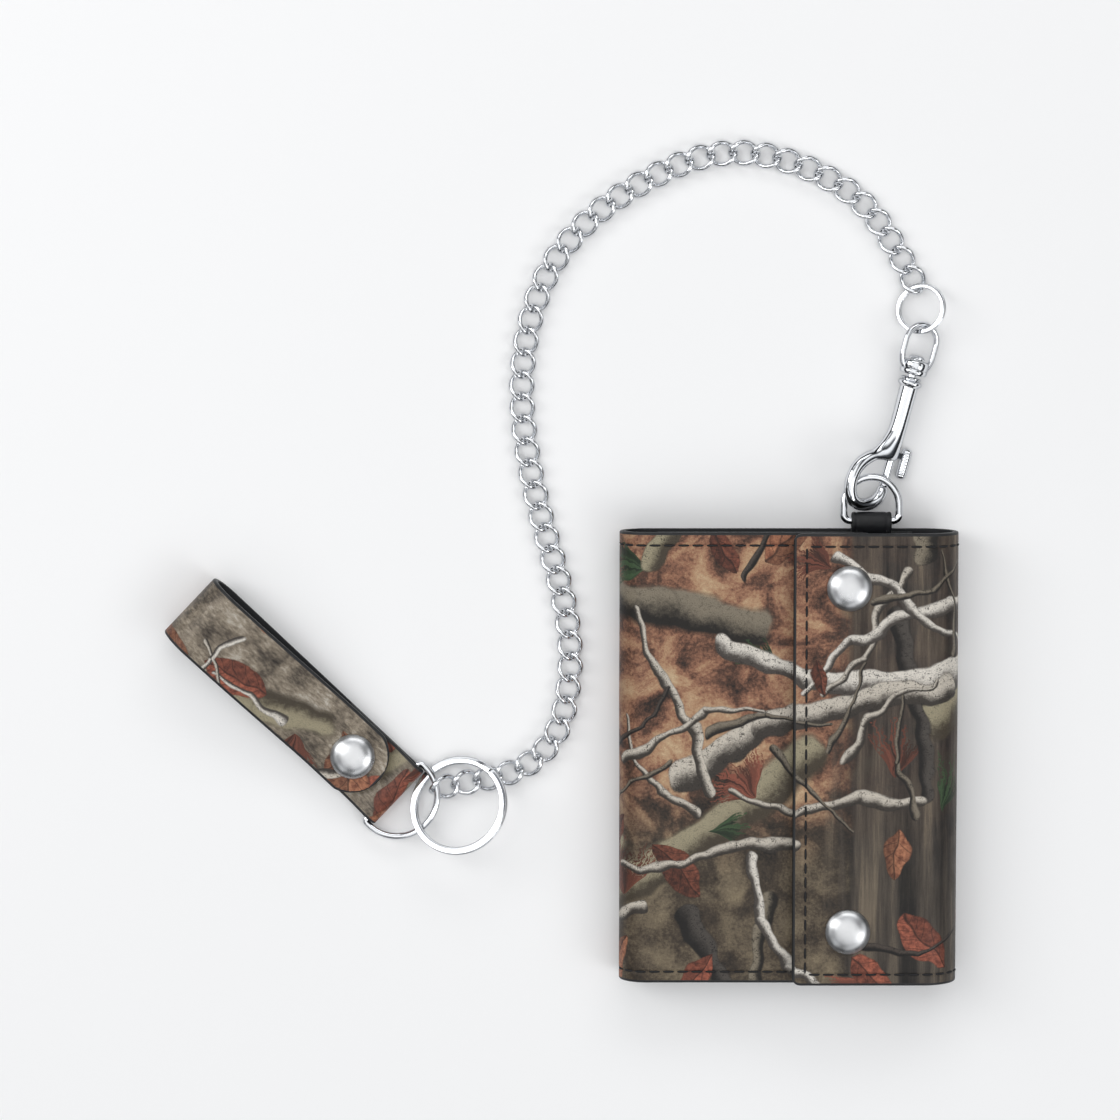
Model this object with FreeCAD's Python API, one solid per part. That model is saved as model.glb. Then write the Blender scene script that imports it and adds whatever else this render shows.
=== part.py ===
"""Chain wallet: a trifold leather wallet, a curb chain with a bolt snap, and a belt loop closed by a snap.

Frame: millimetres, +Z up. The closed wallet lies on its back at Z = 0, its width along X and its height
along Y. The origin is the centre of the wallet's back face.
"""
import FreeCAD
import Part
import math
import os
from FreeCAD import Vector

# ---- wallet leather ----
WALLET_WIDTH = 80.6
WALLET_HEIGHT = 108.0
COVER = 1.4                 # printed outer leather
LINING = 0.7                # black inner leather
POCKET = 0.7                # one card pocket layer
BODY_GAP = 0.5              # clearance between leather pieces that move apart
CORNER = 2.0                # rounded free corners of the flap and panel

BILL_GAP = 1.2              # banknote compartment behind the lining
BACK_STACK_TOP = COVER + BILL_GAP + LINING
FRONT_TOP = 13.2            # outer face of the front panel, wallet closed
FLAP_BOTTOM = 15.0          # inner face of the closing flap
FLAP_TOP = FLAP_BOTTOM + LINING + COVER
FLAP_EDGE_X = 0.7           # free edge of the flap
PANEL_EDGE_X = 19.5         # free edge of the front panel, under the flap
POCKET_STEP = 8.0           # how far each card pocket stops short of the one below
SEAM = 1.5                  # spacer strip that closes the banknote compartment's low side
LINING_SIDE_INSET = 2.0     # lining and pockets stop this far from a fold's hinge side
LINING_END_INSET = 0.6      # and this far from the top and bottom edges
POCKET_SIDE_INSET = 3.5
POCKET_END_INSET = 1.2
BACK_POCKET_INSET = 2.5     # first back pocket from the right fold
FRONT_POCKET_INSET = 11.5   # first front pocket from the panel's free edge
TAB_ROOM = 0.4              # clearance cut out of the pockets round the hang tab
POCKET_COUNT = 3

# ---- folds: each is a half round of cover leather ----
RIGHT_FOLD_R = FLAP_TOP / 2
LEFT_FOLD_R = FRONT_TOP / 2
RIGHT_FOLD_X = WALLET_WIDTH / 2 - RIGHT_FOLD_R
LEFT_FOLD_X = -(WALLET_WIDTH / 2 - LEFT_FOLD_R)

# ---- snap fasteners ----
SNAP_X = 13.9
SNAP_Y = 41.0
CAP_R = 5.4
CAP_HEIGHT = 2.2
STEM_R = 1.6
SOCKET_R = 4.4
SOCKET_BORE_R = 2.9
SOCKET_HEIGHT = 1.1
STUD_R = 1.8
STUD_HEIGHT = 1.15
FLANGE = 0.5

# ---- hang tab and its D-ring ----
TAB_X = 19.7
TAB_WIDTH = 9.5
TAB_LAYER = 1.1
TAB_ROOT_Y = 34.0
TAB_FOOT = 12.0             # length sewn to the pockets
RUNNING_GAP = 0.1           # round a wire that turns in leather
RING_BAR_Y = 56.3
RING_Z = 6.35
D_WIRE_R = 0.9
D_HALF_WIDTH = 6.6          # wire centre line
D_SIDE = 3.8
D_CORNER = 1.6

# ---- bolt snap: u across the hook, v along the shank, w through it ----
HOOK_POINT = Vector(24.3, 70.6, 3.97)     # bolt axis at the shank's lower end
HOOK_HEADING = 15.0         # shank leans this far from +Y towards +X
HOOK_ROLL = 34.0            # left limb up, thumb bar down
LIMB_R = 1.4
HOOK_LOOP_R = 4.9           # lower half circle of the hook
HOOK_TIP_V = -7.0
HOOK_BACK_R = 9.0           # long curve from the limb to the shank
SHANK_U = -0.45
SHANK_R = 2.15
SHANK_TOP = 18.4
COLLAR_HEIGHT = 1.6
PIN_R = 1.2                 # pin the swivel turns on, and its head
PIN_HEAD_R = 1.9
# outline of the web that joins limb and shank, (u, v)
WEB_OUTLINE = [(-6.2, -0.6), (-3.6, 3.6), (-2.6, 8.0), (1.4, 8.0), (1.6, 0.0), (-2.0, -0.6), (-4.6, -2.4)]
THUMB_SLOT = 1.3
BOLT_R = 1.1
BOLT_BOTTOM = -6.7
BOLT_TOP = 2.6
BOLT_TRAVEL = 5.6
BORE_TOP = 11.0
THUMB_U = 4.3
THUMB_R = 1.3
SPRING_WIRE_R = 0.18
SPRING_TURNS = 9

# ---- swivel eye and split rings ----
EYE_ROLL = 28.0
EYE_HALF_WIDTH = 4.3
EYE_WIRE_R = 0.72
BARREL_R = 3.3
BARREL_BOTTOM = 21.0
BARREL_TOP = 24.6
EYE_TOP = 33.2
SMALL_RING_CENTRE = Vector(31.4, 106.65, 3.25)
SMALL_RING_R = 5.55         # wire centre line
SMALL_BAND = 1.2
SMALL_HEIGHT = 1.1
SMALL_RING_TILT = 14.0      # far side down
SMALL_RING_ROLL = 22.5      # right side up
KEY_RING_CENTRE = Vector(-78.8, -12.3, 5.7)
KEY_RING_R = 11.15          # middle of the band
KEY_BAND = 1.8              # across the band, flat on the ring's plane
KEY_HEIGHT = 1.3
KEY_RING_SLOPE_X = 0.297
KEY_RING_SLOPE_Y = -0.385

# ---- curb chain ----
LINK_LENGTH = 7.8
LINK_WIDTH = 6.4
LINK_WIRE = 1.15
LINK_TWIST = math.radians(-45)    # each end of a link is turned this far out of flat
LINK_PITCH = 5.3
LINK_COUNT = 49
LINKS_PER_SEGMENT = 3
LINK_ARCS = 6
CHAIN_Z = 1.6
CHAIN_ROUTE = [
    (29.6, 113.6), (24.0, 123.3), (17.2, 131.9), (8.8, 137.8), (-1.2, 141.9), (-11.5, 143.6),
    (-22.0, 142.2), (-31.8, 138.2), (-45.2, 129.7), (-55.8, 117.9), (-61.8, 102.8), (-63.6, 86.6),
    (-62.0, 70.6), (-58.4, 54.6), (-54.2, 39.3), (-52.0, 23.7), (-52.9, 13.0), (-56.0, 3.6),
    (-62.4, -3.0), (-72.2, -6.4), (-87.0, -9.6),
]
# Links beside a ring lean out of flat to pass round it: link number -> (roll, pitch, lift)
LEANING_LINKS = {48: (-5.6, 8.6, 0.43), 49: (-19.5, 5.8, 1.02)}

# ---- belt loop: s along the strap from the D-ring end, n across it ----
STRAP_START = Vector(-93.2, -10.95, 0)
STRAP_HEADING = 136.5       # from +X
STRAP_LENGTH = 68.6
STRAP_WIDTH = 17.6
STRAP = 1.3                 # strap leather
NEAR_FOLD_R = 2.3
FAR_FOLD_R = 6.8
FOLD_OVER_END = 24.0
TIP_S = 6.6
TIP_BOTTOM = 4.4
SNAP_S = 15.2
RISE_START = 22.0
HINGE_GAP_DEG = 4.0
BELT_D_HALF = 9.8           # wire centre line
BELT_D_WIRE_R = 0.8
BELT_D_SIDE = 0.6
BELT_D_CORNER = 0.9
BELT_D_TILT = 4.8


def box(x0, x1, y0, y1, z0, z1):
    return Part.makeBox(x1 - x0, y1 - y0, z1 - z0, Vector(x0, y0, z0))


def cylinder(radius, z0, z1, x=0.0, y=0.0):
    return Part.makeCylinder(radius, z1 - z0, Vector(x, y, z0))


def sheet(x0, x1, y0, y1, z0, z1, round_side=0):
    """A flat leather piece; round_side +1 or -1 rounds the two corners at its +X or -X end."""
    plate = box(x0, x1, y0, y1, z0, z1)
    if not round_side:
        return plate
    end = x1 if round_side > 0 else x0
    corners = [
        edge for edge in plate.Edges
        if abs(edge.Vertexes[0].X - end) < 1e-6 and abs(edge.Vertexes[1].X - end) < 1e-6
        and abs(edge.Vertexes[0].Z - edge.Vertexes[1].Z) > 1e-6
    ]
    return plate.makeFillet(CORNER, corners)


def arc_band(centre, inner, outer, start_deg, end_deg, y0, y1):
    """Half-round leather: a band in the XZ plane about centre (x, z), drawn along Y."""
    def at(radius, degrees):
        angle = math.radians(degrees)
        return Vector(centre[0] + radius * math.cos(angle), y0, centre[1] + radius * math.sin(angle))

    middle = (start_deg + end_deg) / 2
    wire = Part.Wire([
        Part.Arc(at(outer, start_deg), at(outer, middle), at(outer, end_deg)).toShape(),
        Part.LineSegment(at(outer, end_deg), at(inner, end_deg)).toShape(),
        Part.Arc(at(inner, end_deg), at(inner, middle), at(inner, start_deg)).toShape(),
        Part.LineSegment(at(inner, start_deg), at(outer, start_deg)).toShape(),
    ])
    return Part.Face(wire).extrude(Vector(0, y1 - y0, 0))


def sweep_arcs(edges, radius):
    """A round wire along tangent lines and arcs, one clean solid per edge, joined."""
    pieces = []
    for edge in edges:
        start = edge.valueAt(edge.FirstParameter)
        along = edge.tangentAt(edge.FirstParameter)
        section = Part.Face(Part.Wire([Part.makeCircle(radius, start, along)]))
        pieces.append(Part.Wire([edge]).makePipe(section))
    return pieces[0].multiFuse(pieces[1:]) if len(pieces) > 1 else pieces[0]


def frame_matrix(origin, u_axis, v_axis, w_axis):
    return FreeCAD.Matrix(
        u_axis.x, v_axis.x, w_axis.x, origin.x,
        u_axis.y, v_axis.y, w_axis.y, origin.y,
        u_axis.z, v_axis.z, w_axis.z, origin.z,
        0, 0, 0, 1,
    )


def placed(shape, matrix):
    moved = shape.copy()
    moved.Placement = FreeCAD.Placement(matrix).multiply(moved.Placement)
    return moved


# ---- snap fastener pieces, each on the Z axis at (x, y) ----

def snap_cap(x, y, leather_bottom, leather_top):
    """Domed cap over the leather with its hollow rivet stem going down through it."""
    dome_r = (CAP_R ** 2 + CAP_HEIGHT ** 2) / (2 * CAP_HEIGHT)
    dome = Part.makeSphere(dome_r, Vector(x, y, leather_top + CAP_HEIGHT - dome_r))
    dome = dome.common(cylinder(CAP_R, leather_top, leather_top + CAP_HEIGHT + 1, x, y))
    stem = cylinder(STEM_R, leather_bottom, leather_top + 0.3, x, y)
    return dome.fuse(stem).removeSplitter()


def snap_socket(x, y, top):
    ring = cylinder(SOCKET_R, top - SOCKET_HEIGHT, top, x, y)
    return ring.cut(cylinder(SOCKET_BORE_R, top - SOCKET_HEIGHT - 1, top + 1, x, y))


def snap_stud(x, y, base):
    flange = cylinder(SOCKET_R - 0.4, base, base + FLANGE, x, y)
    head = cylinder(STUD_R, base, base + FLANGE + STUD_HEIGHT, x, y)
    crown = [edge for edge in head.Edges if abs(edge.BoundBox.ZMin - head.BoundBox.ZMax) < 1e-6]
    return flange.fuse(head.makeFillet(0.4, crown)).removeSplitter()


def snap_post(x, y, bottom, top):
    """Back disc under the leather with a stem up to the stud."""
    return cylinder(SOCKET_R - 0.4, bottom, bottom + FLANGE - 0.1, x, y).fuse(
        cylinder(STEM_R, bottom, top, x, y)).removeSplitter()


def stem_holes(shape, places, z0, z1, radius=STEM_R + 0.05):
    for x, y in places:
        shape = shape.cut(cylinder(radius, z0, z1, x, y))
    return shape


# ---- wallet ----

def wallet_nodes():
    nodes = {}
    y1 = WALLET_HEIGHT / 2
    y0 = -y1
    snaps = [(SNAP_X, SNAP_Y), (SNAP_X, -SNAP_Y)]
    left = LEFT_FOLD_X + BODY_GAP
    right = RIGHT_FOLD_X - BODY_GAP

    # back panel
    nodes["back_cover"] = sheet(left, right, y0, y1, 0, COVER)
    lining_x = (left + LINING_SIDE_INSET, right - SEAM)
    lining_y = (y0 + LINING_END_INSET, y1 - LINING_END_INSET)
    lining = sheet(*lining_x, *lining_y, COVER + BILL_GAP, BACK_STACK_TOP)
    seam = box(*lining_x, lining_y[0], lining_y[0] + SEAM, COVER, COVER + BILL_GAP)
    nodes["bill_lining"] = lining.fuse(seam).removeSplitter()
    tab_reach = TAB_WIDTH / 2 + TAB_ROOM
    tab_room = box(TAB_X - tab_reach, TAB_X + tab_reach, TAB_ROOT_Y - TAB_ROOM, y1 + 1, 0, FRONT_TOP)
    pocket_y = (y0 + POCKET_END_INSET, y1 - POCKET_END_INSET)
    for i in range(POCKET_COUNT):
        z = BACK_STACK_TOP + i * POCKET
        reach = right - BACK_POCKET_INSET - i * POCKET_STEP
        pocket = sheet(left + POCKET_SIDE_INSET, reach, *pocket_y, z, z + POCKET)
        nodes["back_pocket_%d" % (i + 1)] = pocket.cut(tab_room).removeSplitter()

    # hang tab: a strap doubled round the D-ring's bar
    tab_x0 = TAB_X - TAB_WIDTH / 2
    loop_r = D_WIRE_R + RUNNING_GAP + TAB_LAYER
    low = RING_Z - loop_r
    doubled = box(tab_x0, tab_x0 + TAB_WIDTH, TAB_ROOT_Y, RING_BAR_Y, low, low + 2 * TAB_LAYER)
    foot = box(tab_x0, tab_x0 + TAB_WIDTH, TAB_ROOT_Y, TAB_ROOT_Y + TAB_FOOT, BACK_STACK_TOP, low)
    loop = Part.makeCylinder(loop_r, TAB_WIDTH, Vector(tab_x0, RING_BAR_Y, RING_Z), Vector(1, 0, 0))
    bore = Part.makeCylinder(
        D_WIRE_R + RUNNING_GAP, TAB_WIDTH + 2, Vector(tab_x0 - 1, RING_BAR_Y, RING_Z), Vector(1, 0, 0))
    nodes["hang_tab"] = doubled.fuse(foot).fuse(loop).cut(bore).removeSplitter()

    # folds
    gap_deg = math.degrees(BODY_GAP / RIGHT_FOLD_R)
    nodes["right_fold"] = arc_band(
        (RIGHT_FOLD_X, RIGHT_FOLD_R), RIGHT_FOLD_R - COVER, RIGHT_FOLD_R, gap_deg - 90, 90 - gap_deg, y0, y1)
    gap_deg = math.degrees(BODY_GAP / LEFT_FOLD_R)
    nodes["left_fold"] = arc_band(
        (LEFT_FOLD_X, LEFT_FOLD_R), LEFT_FOLD_R - COVER, LEFT_FOLD_R, 90 + gap_deg, 270 - gap_deg, y0, y1)

    # front panel, folded in first
    cover = sheet(left, PANEL_EDGE_X, y0, y1, FRONT_TOP - COVER, FRONT_TOP, round_side=1)
    lining = sheet(
        left + LINING_SIDE_INSET, PANEL_EDGE_X - 0.5, *lining_y, FRONT_TOP - COVER - LINING, FRONT_TOP - COVER)
    post_bottom = FRONT_TOP - COVER - LINING - FLANGE + 0.1
    nodes["front_cover"] = stem_holes(cover, snaps, FRONT_TOP - COVER - 1, FRONT_TOP + 1)
    nodes["front_lining"] = stem_holes(lining, snaps, post_bottom, FRONT_TOP)
    for i in range(POCKET_COUNT):
        z = FRONT_TOP - COVER - LINING - i * POCKET
        reach = PANEL_EDGE_X - FRONT_POCKET_INSET - i * POCKET_STEP
        nodes["front_pocket_%d" % (i + 1)] = sheet(left + POCKET_SIDE_INSET, reach, *pocket_y, z - POCKET, z)
    nodes["panel_snap_studs"] = Part.makeCompound([snap_stud(x, y, FRONT_TOP) for x, y in snaps])
    nodes["panel_snap_posts"] = Part.makeCompound([snap_post(x, y, post_bottom, FRONT_TOP) for x, y in snaps])

    # closing flap
    flap = sheet(FLAP_EDGE_X, right, y0, y1, FLAP_TOP - COVER, FLAP_TOP, round_side=-1)
    flap_lining = sheet(FLAP_EDGE_X + 0.4, right - 1.0, y0 + 0.4, y1 - 0.4, FLAP_BOTTOM, FLAP_TOP - COVER)
    nodes["flap_cover"] = stem_holes(flap, snaps, FLAP_BOTTOM, FLAP_TOP + 1)
    nodes["flap_lining"] = stem_holes(flap_lining, snaps, FLAP_BOTTOM - 1, FLAP_TOP)
    nodes["flap_snap_caps"] = Part.makeCompound([snap_cap(x, y, FLAP_BOTTOM, FLAP_TOP) for x, y in snaps])
    nodes["flap_snap_sockets"] = Part.makeCompound([snap_socket(x, y, FLAP_BOTTOM) for x, y in snaps])
    return nodes


def d_ring(half_width, side, corner, wire_r):
    """A D in the XY plane: its straight bar along X at the origin, its bow towards +Y."""
    def line(a, b):
        return Part.LineSegment(Vector(*a, 0), Vector(*b, 0)).toShape()

    def arc(a, b, c):
        return Part.Arc(Vector(*a, 0), Vector(*b, 0), Vector(*c, 0)).toShape()

    bend = corner * (1 - math.sqrt(0.5))
    top = corner + side
    w = half_width
    edges = [
        line((corner - w, 0), (w - corner, 0)),
        arc((w - corner, 0), (w - bend, bend), (w, corner)),
        line((w, corner), (w, top)),
        arc((w, top), (0, top + w), (-w, top)),
        line((-w, top), (-w, corner)),
        arc((-w, corner), (bend - w, bend), (corner - w, 0)),
    ]
    return sweep_arcs(edges, wire_r)


# ---- bolt snap ----

def hook_axes(roll_deg):
    heading = math.radians(HOOK_HEADING)
    roll = math.radians(roll_deg)
    v_axis = Vector(math.sin(heading), math.cos(heading), 0)
    flat_u = Vector(math.cos(heading), -math.sin(heading), 0)
    up = Vector(0, 0, 1)
    u_axis = flat_u * math.cos(roll) - up * math.sin(roll)
    w_axis = flat_u * math.sin(roll) + up * math.cos(roll)
    return u_axis, v_axis, w_axis


def along_v(radius, v0, v1, u=0.0):
    return Part.makeCylinder(radius, v1 - v0, Vector(u, v0, 0), Vector(0, 1, 0))


def hook_body():
    """Hook, shank and swivel neck as one casting, bored for the bolt and slotted for its thumb bar."""
    centre_u = -HOOK_LOOP_R
    left_u = -2 * HOOK_LOOP_R
    tip = Vector(0, HOOK_TIP_V, 0)
    bottom = Vector(centre_u, HOOK_TIP_V - HOOK_LOOP_R, 0)
    side = Vector(left_u, HOOK_TIP_V, 0)
    back_centre = Vector(left_u + HOOK_BACK_R, HOOK_TIP_V, 0)

    def on_back(degrees):
        angle = math.radians(degrees)
        return back_centre + Vector(-math.cos(angle), math.sin(angle), 0) * HOOK_BACK_R

    limb = sweep_arcs([
        Part.Arc(tip, bottom, side).toShape(),
        Part.Arc(side, on_back(30), on_back(60)).toShape(),
    ], LIMB_R)
    web = Part.Face(Part.makePolygon([Vector(u, v, -LIMB_R) for u, v in WEB_OUTLINE + WEB_OUTLINE[:1]]))
    web = web.extrude(Vector(0, 0, 2 * LIMB_R))
    shank = along_v(SHANK_R, 1.0, SHANK_TOP, SHANK_U)
    collar = along_v(SHANK_R + 0.6, SHANK_TOP, SHANK_TOP + COLLAR_HEIGHT, SHANK_U)
    pin = along_v(PIN_R, SHANK_TOP, BARREL_TOP + 0.9, SHANK_U)
    head = along_v(PIN_HEAD_R, BARREL_TOP + 0.2, BARREL_TOP + 1.1, SHANK_U)
    body = limb.fuse([web, shank, collar, pin, head])
    bore = along_v(BOLT_R + 0.05, -3.0, BORE_TOP)
    slot = Part.makeBox(6, BOLT_TRAVEL + 3.4, THUMB_SLOT, Vector(0, -0.6, -THUMB_SLOT / 2))
    return body.cut(bore).cut(slot)


def hook_bolt():
    rod = along_v(BOLT_R, BOLT_BOTTOM, BOLT_TOP)
    post = Part.makeBox(THUMB_U, 1.6, 1.0, Vector(0, 0.7, -0.5))
    bar = along_v(THUMB_R, -3.9, 3.6, THUMB_U)
    ends = [edge for edge in bar.Edges if isinstance(edge.Curve, Part.Circle)]
    return rod.fuse([post, bar.makeFillet(0.9, ends)]).removeSplitter()


def bolt_spring():
    """Stack of turns pressing the bolt onto the hook's tip."""
    start = BOLT_TOP + SPRING_WIRE_R + 0.05
    step = (BORE_TOP - SPRING_WIRE_R - 0.05 - start) / (SPRING_TURNS - 1)
    turn_r = BOLT_R - SPRING_WIRE_R - 0.1
    turns = [
        Part.makeTorus(turn_r, SPRING_WIRE_R, Vector(0, start + i * step, 0), Vector(0, 1, 0))
        for i in range(SPRING_TURNS)
    ]
    return Part.makeCompound(turns)


def swivel_eye():
    """Barrel on the shank's pin with a wire bow standing on it."""
    barrel = along_v(BARREL_R, BARREL_BOTTOM, BARREL_TOP)
    rim = [edge for edge in barrel.Edges if isinstance(edge.Curve, Part.Circle)]
    barrel = barrel.makeFillet(0.6, rim)
    shoulder = Vector(EYE_HALF_WIDTH, EYE_TOP - EYE_HALF_WIDTH, 0)
    foot = Vector(EYE_HALF_WIDTH - 1.2, BARREL_BOTTOM + 1.8, 0)
    knee = Vector(EYE_HALF_WIDTH, BARREL_TOP + 0.6, 0)

    def mirror(point):
        return Vector(-point.x, point.y, point.z)

    bow = sweep_arcs([
        Part.LineSegment(knee, shoulder).toShape(),
        Part.Arc(shoulder, Vector(0, EYE_TOP, 0), mirror(shoulder)).toShape(),
        Part.LineSegment(mirror(shoulder), mirror(knee)).toShape(),
    ], EYE_WIRE_R)
    legs = [sweep_arcs([Part.LineSegment(a, b).toShape()], EYE_WIRE_R)
            for a, b in ((foot, knee), (mirror(foot), mirror(knee)))]
    knees = [Part.makeSphere(EYE_WIRE_R, point) for point in (knee, mirror(knee))]
    hole = along_v(PIN_R + 0.05, BARREL_BOTTOM - 1, BARREL_TOP + 0.1)
    return barrel.fuse([bow] + legs + knees).cut(hole)


def split_ring(ring_r, band, height):
    """Two close turns of flattened wire, modelled as one band with rounded edges."""
    corner = 0.35 * height
    blank = Part.makeCylinder(ring_r + band / 2, height, Vector(0, 0, -height / 2))
    blank = blank.cut(Part.makeCylinder(ring_r - band / 2, 2 * height, Vector(0, 0, -height)))
    rims = [edge for edge in blank.Edges if isinstance(edge.Curve, Part.Circle)]
    return blank.makeFillet(corner, rims)


# ---- curb chain ----

def link_point(t):
    half_length = (LINK_LENGTH - LINK_WIRE) / 2
    half_width = (LINK_WIDTH - LINK_WIRE) / 2
    x = half_length * math.cos(t)
    y = half_width * math.sin(t)
    twist = LINK_TWIST * x / half_length
    return Vector(x, y * math.cos(twist), y * math.sin(twist))


def link_tangent(t, step=1e-5):
    along = link_point(t + step) - link_point(t - step)
    return along.normalize()


def tangent_arc(start, along, end):
    chord = end - start
    normal = along.cross(chord).normalize()
    side = normal.cross(along)
    radius = chord.dot(chord) / (2 * chord.dot(side))
    centre = start + side * radius
    outward = ((start + end) * 0.5 - centre).normalize()
    return Part.Arc(start, centre + outward * abs(radius), end).toShape()


def biarc(start, start_along, end, end_along):
    """Two arcs that leave start and reach end along the given directions."""
    across = end - start
    both = start_along + end_along
    a = 2 * (1 - start_along.dot(end_along))
    b = 2 * across.dot(both)
    c = -across.dot(across)
    reach = (math.sqrt(b * b - 4 * a * c) - b) / (2 * a)
    first = start + start_along * reach
    second = end - end_along * reach
    middle = (first + second) * 0.5
    return [tangent_arc(start, start_along, middle),
            tangent_arc(middle, (second - first).normalize(), end)]


def curb_link():
    """An oval wire link twisted end to end, so that a row of them lies flat."""
    step = 2 * math.pi / LINK_ARCS
    edges = []
    for i in range(LINK_ARCS):
        t0 = (i + 0.5) * step
        t1 = t0 + step
        edges += biarc(link_point(t0), link_tangent(t0), link_point(t1), link_tangent(t1))
    return sweep_arcs(edges, LINK_WIRE / 2)


def link_places():
    """Centre and heading of every link along the chain's route."""
    route = Part.BSplineCurve()
    route.interpolate([Vector(x, y, CHAIN_Z) for x, y in CHAIN_ROUTE])
    edge = route.toShape()
    places = []
    for i in range(LINK_COUNT):
        where = edge.getParameterByLength(min(i * LINK_PITCH, edge.Length - 1e-6))
        along = edge.tangentAt(where)
        places.append((edge.valueAt(where), math.degrees(math.atan2(along.y, along.x))))
    return places


def chain_nodes():
    link = curb_link()
    nodes = {}
    segment_count = LINK_COUNT // LINKS_PER_SEGMENT
    for i, (centre, heading) in enumerate(link_places()):
        segment = min(i // LINKS_PER_SEGMENT, segment_count - 1)
        roll, pitch, lift = LEANING_LINKS.get(i + 1, (0.0, 0.0, 0.0))
        turn = FreeCAD.Rotation(Vector(0, 0, 1), heading)
        turn = turn.multiply(FreeCAD.Rotation(Vector(0, 1, 0), -pitch))
        turn = turn.multiply(FreeCAD.Rotation(Vector(1, 0, 0), roll))
        copy = link.copy()
        copy.Placement = FreeCAD.Placement(centre + Vector(0, 0, lift), turn)
        nodes.setdefault("chain_%02d" % (segment + 1), []).append(copy)
    return {name: Part.makeCompound(links) for name, links in nodes.items()}


# ---- belt loop, modelled with s along X and n along Y, then turned into place ----

def strap_matrix():
    heading = math.radians(STRAP_HEADING)
    s_axis = Vector(math.cos(heading), math.sin(heading), 0)
    n_axis = Vector(-math.sin(heading), math.cos(heading), 0)
    return frame_matrix(STRAP_START, s_axis, n_axis, Vector(0, 0, 1))


def slab(profile):
    """A leather piece from its outline (s, z), as wide as the strap."""
    points = [Vector(s, -STRAP_WIDTH / 2, z) for s, z in profile + profile[:1]]
    return Part.Face(Part.makePolygon(points)).extrude(Vector(0, STRAP_WIDTH, 0))


def belt_nodes():
    half = STRAP_WIDTH / 2
    bar = (NEAR_FOLD_R, NEAR_FOLD_R)
    far = (STRAP_LENGTH - FAR_FOLD_R, FAR_FOLD_R)

    floor_layer = box(NEAR_FOLD_R, far[0], -half, half, 0, STRAP)
    near_fold = arc_band(bar, NEAR_FOLD_R - STRAP, NEAR_FOLD_R, 90, 270, -half, half)
    fold_over = slab([
        (NEAR_FOLD_R, 2 * NEAR_FOLD_R), (NEAR_FOLD_R, 2 * NEAR_FOLD_R - STRAP), (8.0, STRAP),
        (FOLD_OVER_END, STRAP), (FOLD_OVER_END, 2 * STRAP), (8.6, 2 * STRAP),
    ])
    far_lower = arc_band(far, FAR_FOLD_R - STRAP, FAR_FOLD_R, -90, -HINGE_GAP_DEG, -half, half)
    base = floor_layer.fuse([near_fold, fold_over, far_lower])
    recess = cylinder(SOCKET_R - 0.3, STRAP - FLANGE + 0.1, STRAP, SNAP_S)
    base = base.cut(recess).cut(cylinder(STEM_R + 0.05, STRAP - 0.1, 2 * STRAP + 1, SNAP_S))

    top = 2 * FAR_FOLD_R
    front = slab([
        (TIP_S, TIP_BOTTOM), (RISE_START, TIP_BOTTOM), (far[0], top - STRAP), (far[0], top),
        (RISE_START - 0.2, TIP_BOTTOM + STRAP), (TIP_S, TIP_BOTTOM + STRAP),
    ])
    far_upper = arc_band(far, FAR_FOLD_R - STRAP, FAR_FOLD_R, HINGE_GAP_DEG, 90, -half, half)
    tip_round = half - 1.0
    tip_keep = cylinder(half + 0.4, 0, top + 1, TIP_S + half + 0.4).fuse(
        box(TIP_S + tip_round, STRAP_LENGTH + 1, -half, half, 0, top + 1))
    front = front.fuse(far_upper).common(tip_keep)
    front = front.cut(cylinder(STEM_R + 0.05, 0, TIP_BOTTOM + STRAP + 1, SNAP_S))

    stud_base = 2 * STRAP
    flat = {
        "belt_strap_base": base.removeSplitter(),
        "belt_strap_front": front.removeSplitter(),
        "strap_snap_cap": snap_cap(SNAP_S, 0, TIP_BOTTOM, TIP_BOTTOM + STRAP),
        "strap_snap_socket": snap_socket(SNAP_S, 0, TIP_BOTTOM),
        "strap_snap_stud": snap_stud(SNAP_S, 0, stud_base),
        "strap_snap_post": snap_post(SNAP_S, 0, STRAP - FLANGE + 0.1, stud_base),
    }
    ring = d_ring(BELT_D_HALF, BELT_D_SIDE, BELT_D_CORNER, BELT_D_WIRE_R)
    ring.Placement = FreeCAD.Placement(
        Vector(bar[0], 0, bar[1]),
        FreeCAD.Rotation(Vector(0, 1, 0), BELT_D_TILT).multiply(FreeCAD.Rotation(Vector(0, 0, 1), 90)))
    flat["belt_d_ring"] = ring
    return {name: placed(shape, strap_matrix()) for name, shape in flat.items()}


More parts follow.
